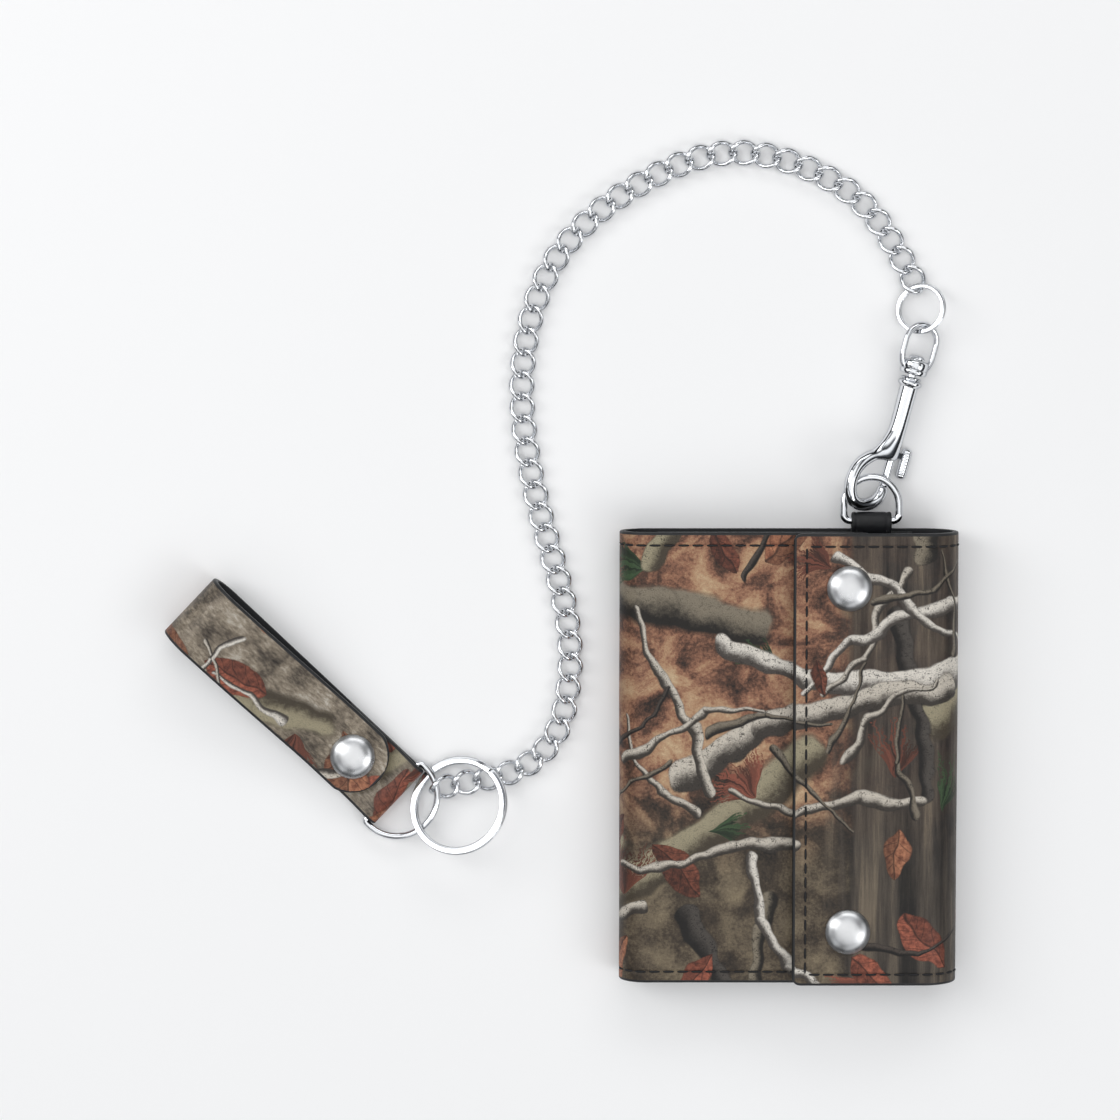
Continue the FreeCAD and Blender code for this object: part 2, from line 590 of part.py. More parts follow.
def build():
    nodes = wallet_nodes()

    ring = d_ring(D_HALF_WIDTH, D_SIDE - D_CORNER, D_CORNER, D_WIRE_R)
    ring.translate(Vector(TAB_X, RING_BAR_Y, RING_Z))
    nodes["wallet_d_ring"] = ring

    hook = frame_matrix(HOOK_POINT, *hook_axes(HOOK_ROLL))
    nodes["snap_hook"] = placed(hook_body(), hook)
    nodes["hook_bolt"] = placed(hook_bolt(), hook)
    nodes["bolt_spring"] = placed(bolt_spring(), hook)
    eye_axes = hook_axes(EYE_ROLL)
    pin_point = HOOK_POINT + hook_axes(HOOK_ROLL)[0] * SHANK_U
    nodes["swivel_eye"] = placed(swivel_eye(), frame_matrix(pin_point, *eye_axes))

    small = split_ring(SMALL_RING_R, SMALL_BAND, SMALL_HEIGHT)
    tilt = FreeCAD.Rotation(Vector(1, 0, 0), -SMALL_RING_TILT)
    roll = FreeCAD.Rotation(Vector(0, 1, 0), -SMALL_RING_ROLL)
    small.Placement = FreeCAD.Placement(SMALL_RING_CENTRE, tilt.multiply(roll))
    nodes["small_split_ring"] = small

    nodes.update(chain_nodes())
    nodes.update(belt_nodes())

    key = split_ring(KEY_RING_R, KEY_BAND, KEY_HEIGHT)
    normal = Vector(-KEY_RING_SLOPE_X, -KEY_RING_SLOPE_Y, 1)
    key.Placement = FreeCAD.Placement(KEY_RING_CENTRE, FreeCAD.Rotation(Vector(0, 0, 1), normal))
    nodes["key_ring"] = key
    return nodes


def main():
    os.makedirs("parts", exist_ok=True)
    for name, shape in build().items():
        shape.exportStep("parts/%s.step" % name)


main()
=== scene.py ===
"""Looks of a chain wallet: printed leather, black linings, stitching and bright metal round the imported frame.

Helpers work in millimetres in the row frame and scale to metres when a mesh is made.
"""
import math
import random

import bmesh
import bpy
import numpy as np
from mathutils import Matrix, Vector


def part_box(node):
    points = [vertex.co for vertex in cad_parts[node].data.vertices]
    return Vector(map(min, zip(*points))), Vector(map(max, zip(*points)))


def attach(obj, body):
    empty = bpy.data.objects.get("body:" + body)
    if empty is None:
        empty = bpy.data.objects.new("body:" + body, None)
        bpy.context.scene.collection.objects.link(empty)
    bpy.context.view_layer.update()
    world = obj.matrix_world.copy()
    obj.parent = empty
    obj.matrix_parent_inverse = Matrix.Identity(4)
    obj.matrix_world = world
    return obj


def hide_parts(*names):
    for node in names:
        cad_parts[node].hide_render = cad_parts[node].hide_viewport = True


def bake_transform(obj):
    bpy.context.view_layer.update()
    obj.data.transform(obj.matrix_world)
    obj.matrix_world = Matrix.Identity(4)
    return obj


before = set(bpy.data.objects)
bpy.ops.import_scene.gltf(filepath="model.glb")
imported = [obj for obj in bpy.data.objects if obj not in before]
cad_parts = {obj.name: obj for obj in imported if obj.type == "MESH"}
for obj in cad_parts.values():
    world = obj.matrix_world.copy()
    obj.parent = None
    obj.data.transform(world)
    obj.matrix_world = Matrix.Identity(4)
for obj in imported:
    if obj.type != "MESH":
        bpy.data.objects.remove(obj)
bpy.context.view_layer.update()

MM = 0.001

# ---- sizes repeated from the part, in mm ----
HALF_HEIGHT = 54.0
COVER = 1.4
LINING = 0.7
FLAP_TOP = 17.1
FRONT_TOP = 13.2
RIGHT_R = FLAP_TOP / 2
LEFT_R = FRONT_TOP / 2
RIGHT_X = 40.3 - RIGHT_R
LEFT_X = -40.3 + LEFT_R
FLAP_EDGE = 0.7
PANEL_EDGE = 19.5
CORNER = 2.0
SNAP_X = 13.9
SNAP_Y = 41.0
CAP_R = 5.4
CAP_DENT = 0.16
STITCH_INSET = 2.8
TAB_X = 19.7
TAB_HALF = 4.75
RING_BAR = (56.3, 6.35)
TAB_ROOT = 34.0
HOOK_POINT = np.array([24.3, 70.6, 3.97])
HOOK_HEADING = math.radians(15.0)
HOOK_ROLL = math.radians(34.0)
EYE_ROLL = math.radians(28.0)
SHANK_U = -0.45
STRAP_START = np.array([-93.2, -10.95, 0.0])
STRAP_HEADING = math.radians(136.5)
STRAP_HALF = 8.8
STRAP = 1.3
STRAP_FAR = 61.8
STRAP_FAR_R = 6.8
STRAP_NEAR_R = 2.3
STRAP_SNAP_S = 15.2
STRAP_SNAP_Z = 5.7


# ---- mesh helpers ----

def add_object(name, verts, faces, materials, index=None, uv=None, sharp=40):
    """A mesh object from mm vertices. index gives each face's material, uv each vertex's print place."""
    mesh = bpy.data.meshes.new(name)
    mesh.from_pydata([tuple(v) for v in np.asarray(verts, float) * MM], [], faces)
    for material in materials:
        mesh.materials.append(material)
    if index is not None:
        mesh.polygons.foreach_set("material_index", np.asarray(index, np.int32))
    if uv is not None:
        layer = mesh.uv_layers.new(name="print")
        loops = np.zeros(len(mesh.loops), np.int32)
        mesh.loops.foreach_get("vertex_index", loops)
        layer.data.foreach_set("uv", np.asarray(uv, np.float32)[loops].ravel())
    made = bmesh.new()
    made.from_mesh(mesh)
    bmesh.ops.recalc_face_normals(made, faces=made.faces)
    made.to_mesh(mesh)
    made.free()
    mesh.polygons.foreach_set("use_smooth", [True] * len(mesh.polygons))
    mesh.set_sharp_from_angle(angle=math.radians(sharp))
    obj = bpy.data.objects.new(name, mesh)
    bpy.context.collection.objects.link(obj)
    return obj


def merge(parts):
    """Joins (verts, faces) pairs into one pair."""
    verts, faces, base = [], [], 0
    for v, f in parts:
        verts.append(np.asarray(v, float))
        faces += [tuple(k + base for k in face) for face in f]
        base += len(v)
    return np.concatenate(verts), faces


def unit(v):
    v = np.asarray(v, float)
    return v / np.linalg.norm(v)


def stations(lo, hi, step, fine=(), rims=(True, True)):
    """Rising places from lo to hi, close together at rims and beside each fine place."""
    places = list(np.linspace(lo, hi, max(2, int(round((hi - lo) / step)) + 1)))
    rim = (0.05, 0.13, 0.26, 0.42, 0.65, 1.0)
    if rims[0]:
        places += [lo + d for d in rim]
    if rims[1]:
        places += [hi - d for d in rim]
    for f in fine:
        places += [f + d for d in (-1.0, -0.6, -0.35, -0.17, 0, 0.17, 0.35, 0.6, 1.0)]
    places = sorted(p for p in places if lo <= p <= hi)
    kept = [places[0]]
    for p in places[1:]:
        if p - kept[-1] > 0.03:
            kept.append(p)
    kept[-1] = hi
    return np.array(kept)


def rim_drop(d, radius=0.45):
    d = np.clip(d, 0, radius)
    return radius - np.sqrt(radius ** 2 - (radius - d) ** 2)


def leather(name, at, s, y, thick, materials, across=(0, 1, 0), base=(0, 0, 0), half=None, free=(
        False, False),
            height=None, rim_paint=0.66, y_free=True, notch=None, print_at=None):
    """A leather piece that follows a line. at(s) gives the outer face's point and normal; y runs across it.

    half(s) narrows the piece, free says which ends are cut edges, height(s, y) raises the outer face, and
    materials are outer face, cut edge, inner face.
    """
    across = unit(across)
    base = np.asarray(base, float)
    ni, nj = len(s), len(y)
    full = abs(y[-1])
    outer, inner, uv = np.zeros((ni, nj, 3)), np.zeros((ni, nj, 3)), np.zeros((ni, nj, 2))
    depth = np.zeros((ni, nj))
    for i, si in enumerate(s):
        point, normal = at(si)
        scale = half(si) / full if half else 1.0
        rows = y * scale
        d = np.full(nj, 9.0)
        if y_free:
            d = np.minimum(d, full * scale - np.abs(rows))
        if free[0]:
            d = np.minimum(d, si - s[0])
        if free[1]:
            d = np.minimum(d, s[-1] - si)
        h = -rim_drop(d)
        if height:
            h = h + height(si, rows)
        depth[i] = d
        place = base + point + across * rows[:, None]
        outer[i] = place + np.asarray(normal) * h[:, None]
        inner[i] = place - np.asarray(normal) * (thick - rim_drop(d, 0.2))[:, None]
        u = print_at(si) if print_at else si
        uv[i, :, 0] = u
        uv[i, :, 1] = rows
    verts = np.concatenate([outer.reshape(-1, 3), inner.reshape(-1, 3)])
    uvs = np.concatenate([uv.reshape(-1, 2), uv.reshape(-1, 2)])
    lower = ni * nj
    faces, index = [], []

    def cell(i, j):
        if not (0 <= i < ni - 1 and 0 <= j < nj - 1):
            return False
        if notch is None:
            return True
        mid_s, mid_y = (s[i] + s[i + 1]) / 2, (y[j] + y[j + 1]) / 2
        return not (notch[0] < mid_s < notch[1] and notch[2] < mid_y < notch[3])

    for i in range(ni - 1):
        for j in range(nj - 1):
            if not cell(i, j):
                continue
            a, b, c, e = i * nj + j, (i + 1) * nj + j, (i + 1) * nj + j + 1, i * nj + j + 1
            faces.append((a, b, c, e))
            near = min(depth[i, j], depth[i + 1, j + 1], depth[i + 1, j], depth[i, j + 1])
            index.append(1 if near < rim_paint - 0.2 else 0)
            faces.append((e + lower, c + lower, b + lower, a + lower))
            index.append(2)
            for other, p, q in (((i - 1, j), e, a), ((i + 1, j), b, c), ((i, j - 1), a, b),
                    ((i, j + 1), c, e)):
                if not cell(*other):
                    faces.append((q, p, p + lower, q + lower))
                    index.append(1)
    return add_object(name, verts, faces, materials, index, uvs, sharp=50)


def tube_faces(rings, k, closed=False):
    """Faces over rings of k vertices each, with end caps unless the last ring meets the first."""
    faces = []
    for i in range(rings if closed else rings - 1):
        a, b = i * k, ((i + 1) % rings) * k
        faces += [(a + j, a + (j + 1) % k, b + (j + 1) % k, b + j) for j in range(k)]
    if not closed:
        faces.append(tuple(range(k))[::-1])
        faces.append(tuple((rings - 1) * k + j for j in range(k)))
    return faces


def sweep(points, section, up=None, closed=False):
    """A bar along points. section(i, n) gives its outline as (side, up) offsets; up fixes its roll."""
    points = np.asarray(points, float)
    n = len(points)
    if closed:
        tangents = np.roll(points, -1, 0) - np.roll(points, 1, 0)
    else:
        tangents = np.gradient(points, axis=0)
    tangents = tangents / np.linalg.norm(tangents, axis=1)[:, None]
    normal = unit(np.cross(tangents[0], (0.3, 0.5, 0.81))) if up is None else None
    rings = []
    for i in range(n):
        t = tangents[i]
        if up is None:
            normal = unit(normal - t * np.dot(normal, t))
        else:
            fixed = up(i) if callable(up) else np.asarray(up, float)
            normal = unit(fixed - t * np.dot(fixed, t))
        side = np.cross(t, normal)
        outline = np.asarray(section(i, n), float)
        rings.append(points[i] + outline[:, :1] * side + outline[:, 1:] * normal)
    return np.concatenate(rings), tube_faces(n, len(rings[0]), closed)


def circle(radius, sides=16, flat=1.0):
    turn = np.arange(sides) * 2 * math.pi / sides
    return np.stack([radius * np.cos(turn), radius * flat * np.sin(turn)], 1)


def rounded(half_w, half_h, radius, per=4):
    """Outline of a rectangle with round corners."""
    out = []
    for cx, cy, start in ((1, 1, 0), (-1, 1, 90), (-1, -1, 180), (1, -1, 270)):
        for k in range(per + 1):
            a = math.radians(start + 90 * k / per)
            out.append((cx * (half_w - radius) + radius * math.cos(a), cy * (
                half_h - radius) + radius * math.sin(a)))
    return np.array(out)


def lathe(profile, origin, axis, sides=56, side=None, ridge=None):
    """Turns (radius, along) points about an axis. ridge(angle, along) scales the radius."""
    axis = unit(axis)
    side = unit(side if side is not None else np.cross(axis, (0.31, 0.52, 0.8)))
    side = unit(side - axis * np.dot(side, axis))
    other = np.cross(axis, side)
    verts, faces, rings = [], [], []
    for r, z in profile:
        if r < 1e-6:
            rings.append([len(verts)])
            verts.append(np.asarray(origin) + axis * z)
            continue
        ring = []
        for k in range(sides):
            a = 2 * math.pi * k / sides
            rr = r * (ridge(a, z) if ridge else 1.0)
            ring.append(len(verts))
            verts.append(np.asarray(origin) + axis * z + (side * math.cos(a) + other * math.sin(a)) * rr)
        rings.append(ring)
    for a, b in zip(rings, rings[1:]):
        for k in range(sides):
            j = (k + 1) % sides
            if len(a) == 1 and len(b) == 1:
                continue
            if len(a) == 1:
                faces.append((a[0], b[k], b[j]))
            elif len(b) == 1:
                faces.append((a[k], b[0], a[j]))
            else:
                faces.append((a[k], b[k], b[j], a[j]))
    return np.array(verts), faces


def smooth_line(points, count):
    """count points on a Catmull-Rom curve through points, of any dimension."""
    p = np.asarray(points, float)
    p = np.vstack([2 * p[0] - p[1], p, 2 * p[-1] - p[-2]])
    out = []
    spans = len(p) - 3
    for k in range(count):
        x = spans * k / (count - 1)
        i = min(int(x), spans - 1)
        t = x - i
        a, b, c, d = p[i:i + 4]
        out.append(0.5 * (2 * b + (c - a) * t + (2 * a - 5 * b + 4 * c - d) * t * t + (
            3 * b - a - 3 * c + d) * t ** 3))
    return np.array(out)


def track(points):
    """at(s) for a line of (a, z) points in a plane, by its length, with normals on its left side."""
    points = np.asarray(points, float)
    steps = np.linalg.norm(np.diff(points, axis=0), axis=1)
    length = np.concatenate([[0], np.cumsum(steps)])
    tangents = np.gradient(points, length, axis=0)

    def at(s):
        a = np.interp(s, length, points[:, 0])
        z = np.interp(s, length, points[:, 1])
        t = unit((np.interp(s, length, tangents[:, 0]), np.interp(s, length, tangents[:, 1])))
        return np.array([a, z]), np.array([-t[1], t[0]])

    return at, length[-1]


def arc_points(centre, radius, start, end, count):
    angles = np.radians(np.linspace(start, end, count))
    return [(centre[0] + radius * math.cos(a), centre[1] + radius * math.sin(a)) for a in angles]


def stitches(name, surface, lines, material, pitch=3.3, length=2.85, radius=0.27):
    """Thread along lines of (s, y) points: surface(s, y) gives the point and normal on the leather."""
    parts = []
    for (s0, y0), (s1, y1) in lines:
        span = math.hypot(s1 - s0, y1 - y0)
        count = max(1, int(span / pitch))
        gap = span / count
        for k in range(count):
            line, ups = [], []
            for q in (0.0, 0.12, 0.32, 0.5, 0.68, 0.88, 1.0):
                d = (k * gap + (gap - length) / 2 + q * length) / span
                point, normal = surface(s0 + (s1 - s0) * d, y0 + (y1 - y0) * d)
                lift = -0.2 + 0.34 * math.sin(math.pi * q) ** 0.5 if 0 < q < 1 else -0.25
                line.append(point + normal * lift)
                ups.append(normal)
            sizes = (0.55, 0.85, 1.0, 1.0, 1.0, 0.85, 0.55)
            parts.append(sweep(line, lambda i, n: circle(radius * sizes[i], 8, 0.85), up=lambda i: ups[i]))
    verts, faces = merge(parts)
    return add_object(name, verts, faces, [material])


# ---- material helpers ----

def srgb(code):
    channels = [int(code[i:i + 2], 16) / 255 for i in (1, 3, 5)]
    return tuple(c / 12.92 if c < 0.04045 else ((c + 0.055) / 1.055) ** 2.4 for c in channels) + (1.0,)


class Tree:
    """Short calls for building a node tree."""

    def __init__(self, tree):
        self.tree = tree

    def node(self, kind, inputs=(), **settings):
        made = self.tree.nodes.new(kind)
        for key, value in settings.items():
            setattr(made, key, value)
        for key, value in dict(inputs).items():
            if isinstance(value, bpy.types.NodeSocket):
                self.tree.links.new(value, made.inputs[key])
            else:
                made.inputs[key].default_value = value
        return made

    def math(self, operation, a, b=0.0, clamp=False):
        return self.node("ShaderNodeMath", {0: a, 1: b}, operation=operation, use_clamp=clamp).outputs[0]

    def add(self, a, b, clamp=False):
        return self.math("ADD", a, b, clamp)

    def sub(self, a, b):
        return self.math("SUBTRACT", a, b)

    def mul(self, a, b, clamp=False):
        return self.math("MULTIPLY", a, b, clamp)

    def div(self, a, b):
        return self.math("DIVIDE", a, b)

    def grey(self, value):
        return self.node("ShaderNodeCombineColor", {0: value, 1: value, 2: value}).outputs[0]

    def cells(self, vector, scale):
        made = self.node("ShaderNodeTexVoronoi", {"Vector": vector, "Scale": scale}, feature="SMOOTH_F1")
        return made.outputs["Distance"]

    def vector(self, operation, a, b=(0, 0, 0)):
        made = self.node("ShaderNodeVectorMath", {0: a, 1: b}, operation=operation)
        return made.outputs["Value" if operation in ("DOT_PRODUCT", "LENGTH") else "Vector"]

    def scale(self, a, factor):
        return self.node("ShaderNodeVectorMath", {"Vector": a, "Scale": factor}, operation="SCALE").outputs[
            "Vector"]

    def mix(self, factor, a, b, blend="MIX"):
        made = self.node("ShaderNodeMix", {0: factor, 6: a, 7: b}, data_type="RGBA", blend_type=blend,
            clamp_factor=True)
        return made.outputs[2]

    def noise(self, vector, scale, detail=3.0, rough=0.55, distortion=0.0):
        made = self.node("ShaderNodeTexNoise", {
            "Vector": vector, "Scale": scale, "Detail": detail, "Roughness": rough, "Distortion": distortion})
        return made.outputs["Fac"]

    def range(self, value, lo, hi, to_lo=0.0, to_hi=1.0, smooth=False):
        made = self.node("ShaderNodeMapRange", {0: value, 1: lo, 2: hi, 3: to_lo, 4: to_hi})
        if smooth:
            made.interpolation_type = "SMOOTHSTEP"
        return made.outputs[0]

    def ramp(self, value, stops):
        made = self.node("ShaderNodeValToRGB", {0: value})
        ramp = made.color_ramp
        while len(ramp.elements) < len(stops):
            ramp.elements.new(0.5)
        for element, (place, colour) in zip(ramp.elements, stops):
            element.position = place
            element.color = srgb(colour)
        return made.outputs[0]


def new_material(name):
    material = bpy.data.materials.new(name)
    material.use_nodes = True
    tree = Tree(material.node_tree)
    shader = material.node_tree.nodes["Principled BSDF"]
    return material, tree, shader


def link(tree, value, socket):
    tree.tree.links.new(value, socket)


def add_bump(tree, shader, height, strength, distance_mm):
    bump = tree.node("ShaderNodeBump", {"Strength": strength, "Distance": distance_mm * MM, "Height": height})
    link(tree, bump.outputs[0], shader.inputs["Normal"])


def metal(name, colour, roughness, variation, scratch=0.02, anisotropic=0.0):
    material, tree, shader = new_material(name)
    place = tree.node("ShaderNodeTexCoord").outputs["Object"]
    cloud = tree.noise(place, 220.0, 4)
    fine = tree.noise(place, 2600.0, 3)
    tone = tree.mix(tree.range(cloud, 0.35, 0.7), srgb(colour), tuple(c * 0.9 for c in srgb(colour)[:3]) + (
        1,))
    link(tree, tone, shader.inputs["Base Color"])
    shader.inputs["Metallic"].default_value = 1.0
    shader.inputs["Specular Tint"].default_value = (0.34, 0.345, 0.36, 1.0)
    shader.inputs["Anisotropic"].default_value = anisotropic
    rough = tree.add(tree.range(cloud, 0.3, 0.75, roughness, roughness + variation), tree.mul(
        fine, variation * 0.4))
    link(tree, rough, shader.inputs["Roughness"])
    add_bump(tree, shader, fine, scratch, 0.02)
    return material


def black_leather(name, base, light, roughness, grain_scale, strength):
    material, tree, shader = new_material(name)
    place = tree.node("ShaderNodeTexCoord").outputs["Object"]
    cells = tree.cells(place, grain_scale)
    cloud = tree.noise(place, 90.0, 4)
    fine = tree.noise(place, 3200.0, 3)
    tone = tree.mix(tree.range(cloud, 0.35, 0.75), srgb(base), srgb(light))
    link(tree, tone, shader.inputs["Base Color"])
    rough = tree.add(tree.range(cloud, 0.3, 0.7, roughness, roughness + 0.14), tree.mul(cells, 0.12))
    link(tree, rough, shader.inputs["Roughness"])
    add_bump(tree, shader, tree.add(tree.mul(cells, -0.7), tree.mul(fine, 0.3)), strength, 0.12)
    return material


def group(name, inputs, outputs=(("Color", "NodeSocketColor"), ("Place", "NodeSocketVector"))):
    made = bpy.data.node_groups.new(name, "ShaderNodeTree")
    for label, kind in inputs:
        made.interface.new_socket(label, in_out="INPUT", socket_type=kind)
    for label, kind in outputs:
        made.interface.new_socket(label, in_out="OUTPUT", socket_type=kind)
    tree = Tree(made)
    return made, tree, tree.node("NodeGroupInput").outputs, tree.node("NodeGroupOutput").inputs


def lay_over(t, i, o, mask, body):
    """Puts body over what is below. The place goes out moved by a hair, so strokes are worked out in turn."""
    link(t, t.mix(mask, i["Below"], body), o["Color"])
    link(t, t.vector("ADD", i["Place"], t.scale((0, 0, 1e-7), mask)), o["Place"])


FLOAT, VECTOR, COLOUR = "NodeSocketFloat", "NodeSocketVector", "NodeSocketColor"


PLACED = [
    ("Below", COLOUR), ("Place", VECTOR), ("Start", VECTOR), ("Along", VECTOR), ("Side", VECTOR), (
    "Length", FLOAT)]


def stroke_group():
    """A tapered round-ended bar of wood over what is below: lit edge, dark edge, dark flecks."""
    made, t, i, o = group("Wood stroke", PLACED + [
        ("R0", FLOAT), ("R1", FLOAT), ("Soft", FLOAT), ("Light", COLOUR), ("Dark", COLOUR),
        ("Fleck", FLOAT), ("Mid", FLOAT), ("Fine", FLOAT)])
    rel = t.vector("SUBTRACT", i["Place"], i["Start"])
    along = t.vector("DOT_PRODUCT", rel, i["Along"])
    side = t.vector("DOT_PRODUCT", rel, i["Side"])
    held = t.math("MINIMUM", t.math("MAXIMUM", along, 0.0), i["Length"])
    off = t.vector("LENGTH", t.vector("SUBTRACT", rel, t.scale(i["Along"], held)))
    part = t.div(held, i["Length"])
    radius = t.add(i["R0"], t.mul(part, t.sub(i["R1"], i["R0"])))
    ragged = t.add(radius, t.mul(t.sub(i["Fine"], 0.5), t.mul(radius, 0.3)))
    mask = t.add(t.div(t.sub(ragged, off), i["Soft"]), 0.5, clamp=True)
    across = t.add(t.div(side, radius), t.mul(t.sub(i["Mid"], 0.5), 1.3))
    shade = t.range(across, -0.6, 0.35, smooth=True)
    body = t.mix(shade, i["Dark"], i["Light"])
    fleck = t.mul(t.range(t.add(i["Fine"], t.mul(i["Mid"], 0.6)), 0.84, 0.93), i["Fleck"])
    body = t.mix(fleck, body, t.scale(i["Dark"], 0.45))
    rim = t.range(t.sub(ragged, off), 0.0, 0.35, 0.45, 0.0)
    body = t.mix(rim, body, t.scale(i["Dark"], 0.5))
    lay_over(t, i, o, mask, body)
    return made


def leaf_group():
    """A pointed leaf with a midrib, side veins and a lit half."""
    made, t, i, o = group("Leaf", PLACED + [
        ("Width", FLOAT), ("Light", COLOUR), ("Dark", COLOUR), ("Mid", FLOAT), ("Fine", FLOAT)])
    rel = t.vector("SUBTRACT", i["Place"], i["Start"])
    part = t.div(t.vector("DOT_PRODUCT", rel, i["Along"]), i["Length"])
    side = t.vector("DOT_PRODUCT", rel, i["Side"])
    far = t.math("ABSOLUTE", side)
    inside = t.mul(t.mul(part, t.sub(1.0, part)), 4.0)
    bound = t.mul(t.math("POWER", t.math("MAXIMUM", inside, 0.0), 0.8), i["Width"])
    bound = t.add(bound, t.mul(t.sub(i["Fine"], 0.5), 0.9))
    mask = t.mul(t.sub(bound, far), 4.0, clamp=True)
    mask = t.mul(mask, t.math("GREATER_THAN", inside, 0.0))
    body = t.mix(t.range(i["Mid"], 0.35, 0.65), i["Dark"], i["Light"])
    half = t.range(side, -0.3, 0.3, 0.72, 1.12)
    body = t.mix(1.0, body, t.grey(half), "MULTIPLY")
    slant = t.sub(t.mul(part, i["Length"]), t.mul(far, 0.9))
    vein = t.range(t.math("PINGPONG", slant, 1.5), 0.0, 0.22, 0.7, 0.0)
    rib = t.range(far, 0.05, 0.35, 0.85, 0.0)
    body = t.mix(t.math("MAXIMUM", vein, rib), body, t.mix(0.8, body, (0.012, 0.006, 0.004, 1)))
    edge = t.range(t.sub(bound, far), 0.0, 0.5, 0.7, 0.0)
    body = t.mix(edge, body, t.mix(0.6, body, (0.02, 0.008, 0.004, 1)))
    lay_over(t, i, o, mask, body)
    return made


def needle_group():
    """A fan of fine needles from one point."""
    made, t, i, o = group("Needles", PLACED + [
        ("Spread", FLOAT), ("Count", FLOAT), ("Light", COLOUR), ("Dark", COLOUR), ("Mid", FLOAT), (
        "Fine", FLOAT)])
    rel = t.vector("SUBTRACT", i["Place"], i["Start"])
    angle = t.math("ARCTAN2", t.vector("DOT_PRODUCT", rel, i["Side"]), t.vector(
        "DOT_PRODUCT", rel, i["Along"]))
    reach = t.vector("LENGTH", rel)
    turned = t.mul(t.add(angle, t.mul(i["Mid"], 0.35)), i["Count"])
    number = t.math("FLOOR", turned)
    chance = t.node("ShaderNodeTexWhiteNoise", {"W": number}, noise_dimensions="1D").outputs["Value"]
    middle = t.math("ABSOLUTE", t.sub(t.math("FRACT", turned), 0.5))
    off = t.div(t.mul(middle, reach), i["Count"])
    limit = t.mul(i["Length"], t.range(chance, 0, 1, 0.55, 1.0))
    taper = t.range(t.div(reach, limit), 0.1, 1.0, 0.5, 0.2)
    mask = t.mul(t.sub(taper, off), 9.0, clamp=True)
    mask = t.mul(mask, t.math("LESS_THAN", reach, limit))
    mask = t.mul(mask, t.math("LESS_THAN", t.math("ABSOLUTE", angle), i["Spread"]))
    body = t.mix(t.add(t.mul(chance, 0.8), t.mul(i["Fine"], 0.3)), i["Dark"], i["Light"])
    lay_over(t, i, o, mask, body)
    return made


class Print:
    """Paints strokes, leaves and needles in print millimetres, each over the last."""

    def __init__(self, tree, ground, window):
        self.t = tree
        self.window = window
        place = tree.node("ShaderNodeUVMap", uv_map="print").outputs["UV"]
        self.flat = place
        bend = tree.node("ShaderNodeTexNoise", {
            "Vector": place, "Scale": 0.13, "Detail": 1.2, "Roughness": 0.4})
        shift = tree.scale(tree.vector("SUBTRACT", bend.outputs["Color"], (0.5, 0.5, 0.5)), 5.0)
        self.place = tree.vector("MULTIPLY", tree.vector("ADD", place, shift), (1, 1, 0))
        self.mid = tree.noise(place, 0.75, 4, 0.65)
        self.fine = tree.noise(place, 3.1, 5, 0.75)
        self.colour = ground(self)

    def lay(self, made, start, end, reach, extra):
        if max(start[0], end[0]) + reach < self.window[0] or min(start[0], end[0]) - reach > self.window[1]:
            return
        a, b = np.array([*start, 0.0]), np.array([*end, 0.0])
        d = unit(b - a)
        node = self.t.node("ShaderNodeGroup")
        node.node_tree = made
        values = {
            "Below": self.colour, "Place": self.place, "Start": tuple(a), "Along": tuple(d),
            "Side": (-d[1], d[0], 0.0), "Length": float(np.linalg.norm(b - a)), "Mid": self.mid,
            "Fine": self.fine}
        values.update(extra)
        for key, value in values.items():
            if isinstance(value, bpy.types.NodeSocket):
                self.t.tree.links.new(value, node.inputs[key])
            else:
                node.inputs[key].default_value = value
        self.colour, self.place = node.outputs

    def wood(self, points, light, dark, fleck=0.8, soft=0.25):
        """points are (x, y, radius). The lit side is the upper or left one."""
        for (x0, y0, r0), (x1, y1, r1) in zip(points, points[1:]):
            if x1 < x0 or (x1 == x0 and y1 < y0):
                x0, y0, r0, x1, y1, r1 = x1, y1, r1, x0, y0, r0
            self.lay(STROKE, (x0, y0), (x1, y1), max(r0, r1) + 2, {
                "R0": r0, "R1": r1, "Soft": soft, "Light": srgb(light), "Dark": srgb(dark), "Fleck": fleck})

    def leaf(self, start, end, width, light, dark):
        self.lay(LEAF, start, end, width, {"Width": width, "Light": srgb(light), "Dark": srgb(dark)})

    def needles(self, start, end, spread, count, light, dark):
        self.lay(NEEDLES, start, end, math.dist(start, end), {
            "Spread": math.radians(spread), "Count": count, "Light": srgb(light), "Dark": srgb(dark)})


STROKE, LEAF, NEEDLES = stroke_group(), leaf_group(), needle_group()
WALLET_SEED, STRAP_SEED = 11, 5
WALLET_PRINT_X = 46.0
STRAP_PRINT = (-14.0, -11.0), (86.0, 11.0)
PALE_WOOD = [("#D9D3C9", "#57504A"), ("#C9C1B4", "#4A433C")]
TWIG_WOOD = [("#8A8070", "#2E2823"), ("#5B5149", "#1F1A17")]
LOG_WOOD = [("#A39A7F", "#544A3A"), ("#8D8371", "#2A241E"), ("#857F68", "#3B382E"), ("#5A544E", "#26211E")]
DRY_LEAF = [("#A8582C", "#6E3418"), ("#B0764A", "#74401F"), ("#8A4A26", "#4E2612")]
NEEDLE_TINT = [("#9A5230", "#3E2012"), ("#86492C", "#2E1A10"), ("#4A6440", "#1C2A1A")]


